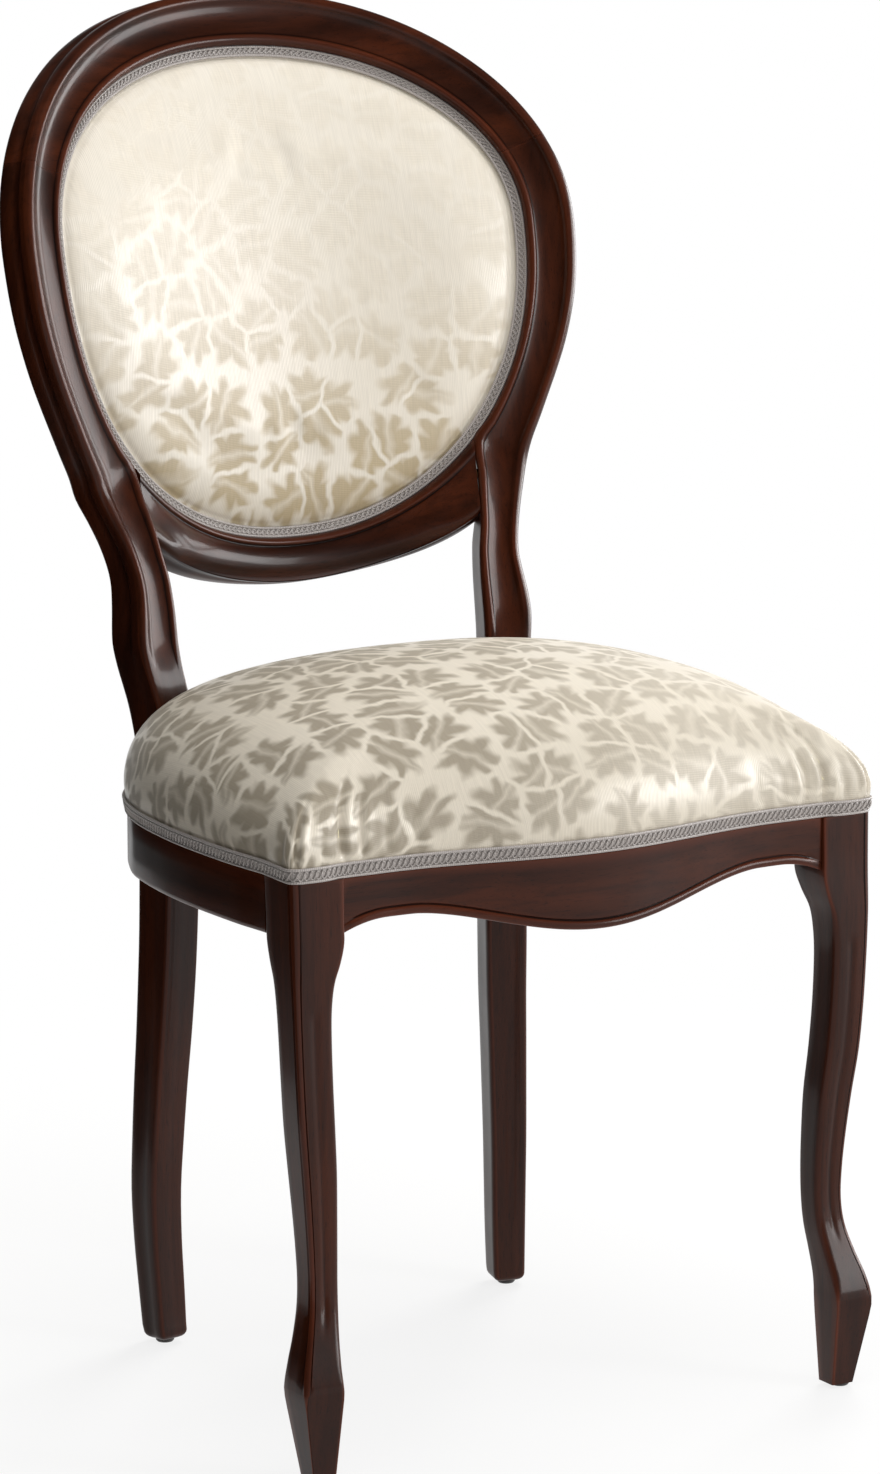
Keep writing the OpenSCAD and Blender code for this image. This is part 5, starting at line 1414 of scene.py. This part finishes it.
def build_seat_gimp():
    outline, outward = dense_plan(lambda p: 3.0)
    lift = CROWN[1][0] - CROWN[0][0]

    def at(i, z):
        s = z / (CROWN_H * CROWN[1][1])
        q = seat_mid + (outline[i] - seat_mid) * (1 + lift * s) - outward[i] * LAYER_GAP * 2
        return Vector((q.x, q.y, GIMP_Z + z))

    corner = leg_point(0, 0)

    def in_leg(p):
        d = Vector((abs(p.x), p.y, 0)) - Vector((corner.x, corner.y, 0))
        u, f, gap = d.dot(SEAT_TURN), -d.dot(SEAT_FRONT), LEG_GAP + 0.6
        return -gap < u < STILE_W + gap and -gap < f < STILE_T * 1.02 + 1.4

    rows = []
    for i in range(len(outline)):
        a, b = at(i, 0), at(i, GIMP_H)
        rows.append((a, (b - a).normalized(), Vector((*outward[i], 0)), in_leg(a)))
    n = len(rows)
    first = next(i for i in range(n) if rows[i - 1][3] and not rows[i][3])
    paths, run = [], []
    for k in range(n + 1):
        row = rows[(first + k) % n]
        if row[3] or k == n:
            if len(run) > 6:
                paths.append((run, False))
            run = []
        else:
            run.append(row[:3])
    build_braid("seat_gimp_braid", paths, GIMP_H - 0.4, "gimp", "seat_gimp")


cambric = material("black_cambric", plain_weave, 1.2, "#1b1a1c", "#242225", "#0b0a0b", 0.9)
SAG_D = 4.0
RIPPLE_D = 0.4


def build_dust_cover():
    """Black cambric tacked under the seat, with a slight sag between its tacks."""
    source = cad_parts["dust_cover"]
    bm = bmesh.new()
    bm.from_mesh(source.data)
    bmesh.ops.remove_doubles(bm, verts=bm.verts[:], dist=1e-6)
    bmesh.ops.dissolve_limit(bm, angle_limit=0.01, verts=bm.verts[:], edges=bm.edges[:])
    bmesh.ops.triangulate(bm, faces=bm.faces[:])
    # Cut across in both directions, so that it can sag
    for first, last, cuts, way in ((40, 330, 14, (0, 1, 0)), (-205, 205, 19, (1, 0, 0))):
        for k in range(cuts):
            geom = bm.verts[:] + bm.edges[:] + bm.faces[:]
            spot = place(Vector(way) * mix(first, last, k / (cuts - 1)))
            bmesh.ops.bisect_plane(bm, geom=geom, plane_co=spot, plane_no=way)
    for v in bm.verts:
        x, y = v.co.x / MM, v.co.y / MM + mid_y
        span = max(0.0, 1 - (x / 195) ** 2) * max(0.0, 1 - ((y - 185) / 155) ** 2)
        ripple = RIPPLE_D * noise.noise(Vector((x / 30, y / 30, 0))) * min(1, span * 4)
        v.co.z -= (SAG_D * span + ripple) * MM
    obj = finish_mesh(bm, "dust_cover_cambric", cambric, sharp=30)
    add_piece(obj, "cambric", "dust_cover")


# ---- the studio
def white_floor(tree):
    """White in the picture and in reflections, and lit under the chair so that its shadow shows."""
    rays = add(tree, "LightPath").node.outputs
    seen = rays["Is Camera Ray"]
    for kind in ("Is Glossy Ray", "Is Transmission Ray"):
        seen = add(tree, "Math", {0: seen, 1: rays[kind]}, operation="MAXIMUM")
    far = add(tree, "VectorMath", {0: add(tree, "TexCoord", out="Object")}, operation="LENGTH")
    span = {"Value": far, "From Min": 0.3, "From Max": 1.2, "To Min": 0.82}
    share = add(tree, "MapRange", span, interpolation_type="SMOOTHSTEP")
    share = add(tree, "Math", {0: share, 1: seen}, operation="MULTIPLY")
    lit = add(tree, "BsdfDiffuse", {"Color": hue("#f4f3f1")})
    white = add(tree, "Emission", {"Color": (1, 1, 1, 1), "Strength": 1.0})
    return add(tree, "MixShader", {0: share, 1: lit, 2: white})


AMBIENT = 0.42


def white_world(tree):
    """White backdrop, seen directly and in reflections. The studio's ceiling and front are dim."""
    rays = add(tree, "LightPath").node.outputs
    sky = add(tree, "TexCoord", out="Generated")
    toward = add(tree, "SeparateXYZ", {"Vector": sky}).node.outputs
    span = {"Value": toward[2], "From Min": 0.1, "From Max": 0.4, "To Min": 1.0, "To Max": 0.1}
    low = add(tree, "MapRange", span)
    span = {"Value": toward[1], "From Min": -0.1, "From Max": 0.5, "To Min": 0.2}
    behind = add(tree, "MapRange", span)
    backdrop = add(tree, "Math", {0: low, 1: behind}, operation="MULTIPLY")
    mirrored = add(tree, "Math", {0: rays["Is Glossy Ray"], 1: backdrop}, operation="MULTIPLY")
    ambient = add(tree, "Math", {0: rays["Is Diffuse Ray"], 1: AMBIENT}, operation="MULTIPLY")
    level = rays["Is Camera Ray"]
    for more in (mirrored, rays["Is Transmission Ray"], ambient):
        level = add(tree, "Math", {0: level, 1: more}, operation="MAXIMUM")
    return add(tree, "Background", {"Color": (1, 1, 1, 1), "Strength": level})


def stage_board(name, cover, size, cuts, corner_at, *unseen_by):
    """A flat piece of the studio: corner_at says where each corner of a square grid goes."""
    bm = bmesh.new()
    bmesh.ops.create_grid(bm, x_segments=cuts, y_segments=cuts, size=size)
    for v in bm.verts:
        v.co = corner_at(v.co)
    board = new_object(bm, name, cover)
    for kind in unseen_by:
        setattr(board, "visible_" + kind, False)


def aimed(name, data, at, way):
    """A lamp or camera that stands at a spot and faces along way."""
    holder = bpy.data.objects.new(name, data)
    holder.location = at
    holder.rotation_euler = way.to_track_quat("-Z", "Y").to_euler()
    scene.collection.objects.link(holder)
    return holder


def build_studio():
    """White floor that keeps the chair's shadow, white surroundings, and plain soft lamps."""
    floor = material("white_studio_floor", white_floor)
    stage_board("studio_floor", floor, 40.0, 2, lambda co: co)
    world = bpy.data.worlds.new("white_studio")
    world.use_nodes = True
    world.node_tree.nodes.clear()
    add(world.node_tree, "OutputWorld", {"Surface": white_world(world.node_tree)})
    scene.world = world

    # Cards out of the camera's sight: black ones that give the polished wood its dark sides, and
    # two lit ones at the right whose long highlights follow the mouldings. Rows: name, middle, half
    # width, half height, turn in degrees, cover, whether the cloth sees it too
    black = material("black_card", lambda tree: add(tree, "BsdfDiffuse", {"Color": hue("#141414")}))
    lit = material("lit_white_card", lambda tree: add(tree, "Emission", {"Strength": 14.0}))
    for name, at, wide, tall, turned, cover, diffuse in (
        ("black_card", (-0.7, 0.35, 0.9), 0.9178, 0.9, 78.69, black, True),
        ("black_back_card", (-1.0, 1.5, 0.75), 0.95, 0.75, 20, black, False),
        ("front_right_card", (2.5, -1.55, 1.1), 0.9, 0.6, 58, lit, False),
        ("right_card", (2.9, 0.25, 0.95), 0.8, 0.6, 95, lit, False),
    ):
        way = Vector((math.cos(math.radians(turned)), math.sin(math.radians(turned)), 0)) * wide

        def corner_at(co):
            return Vector(at) + way * co.x + Vector((0, 0, tall * co.y))

        unseen_by = ("camera", "shadow") if diffuse else ("camera", "shadow", "diffuse")
        stage_board(name, cover, 1.0, 1, corner_at, *unseen_by)

    aim = Vector((0, 0, 0.5))
    for name, at, wide, tall, power_w in (
        ("front_softbox", (2.35, -2.95, 1.0), 0.9, 1.5, 42.0),
        ("rear_softbox", (1.75, 1.3, 1.95), 1.1, 1.1, 46.0),
        ("overhead_softbox", (0.0, -0.5, 3.0), 1.8, 1.8, 40.0),
        ("right_softbox", (3.0, 0.5, 0.7), 1.1, 1.1, 11.0),
    ):
        lamp = bpy.data.lights.new(name, "AREA")
        lamp.shape, lamp.size, lamp.size_y, lamp.energy = "RECTANGLE", wide, tall, power_w
        # Only the front lamp is mirrored: the others light the room softly
        aimed(name, lamp, at, aim - Vector(at)).visible_glossy = name == "front_softbox"


# The photograph's camera: focal length in pixels of a picture 1474 high, and where it stands
FOCAL_PX = 5618.98
PHOTO_H_PX = 1474
SENSOR_MM = 36.0
CAMERA_AZ, CAMERA_EL, CAMERA_AWAY = math.radians(-31.045), math.radians(10.914), 4.1088


def build_camera():
    camera = bpy.data.cameras.new("photo_camera")
    camera.sensor_width = SENSOR_MM
    camera.sensor_fit = "AUTO"
    camera.lens = SENSOR_MM * FOCAL_PX / PHOTO_H_PX
    camera.clip_end = 200
    target = Vector((-0.0032, 0.2 - mid_y * MM, 0.4765))
    level = math.cos(CAMERA_EL)
    offset = Vector(
        (math.sin(CAMERA_AZ) * level, -math.cos(CAMERA_AZ) * level, math.sin(CAMERA_EL))
    )
    scene.camera = aimed("photo_camera", camera, target + offset * CAMERA_AWAY, -offset)


# ---- making the chair
for side in (-1, 1):
    build_rear_leg(side)
    build_front_leg(side)
    build_side_rail(side)
build_back_rails()
build_front_rail()
build_seat_foam()
build_seat_cover()
build_back_cover()
build_outside_back()
build_back_gimps()
build_seat_gimp()
build_dust_cover()

jute = material("jute_webbing", plain_weave, 2.2, "#b3996b", "#a08558", "#5a4628")
hessian = material("jute_hessian", plain_weave, 1.8, "#bfa678", "#ab9063", "#6a5433")
bare_beech = material("bare_beech", plain_beech)
steel = material("zinc_plated_steel", bright_steel, "#a9a8a3")
blued = material("blued_steel_tacks", bright_steel, "#2c2d33")
nylon = material("moulded_nylon", moulded_nylon)
blocks = [end + "_block_" + hand for end in ("front", "rear") for hand in ("left", "right")]
wooden = ["seat_frame_dowels", "back_frame_dowels", "tacking_frame"]
webbings = ["back_webbing", "seat_webbing_lengthwise", "seat_webbing_crosswise"]
# The frame's own meshes that stay, by what they are made of
for cover, nodes in (
    (beech_across, ["rear_rail"]),
    (bare_beech, blocks + wooden),
    (steel, ["block_screws", "tacking_frame_screws"]),
    (jute, webbings),
    (hessian, ["back_hessian", "seat_hessian"]),
    (foam, ["back_foam"]),
    (blued, ["webbing_tacks", "dust_cover_tacks"]),
    (nylon, ["foot_glides"]),
):
    for node in nodes:
        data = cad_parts[node].data
        data.materials.clear()
        data.materials.append(cover)

build_studio()
build_camera()
scene.view_settings.view_transform = "Standard"
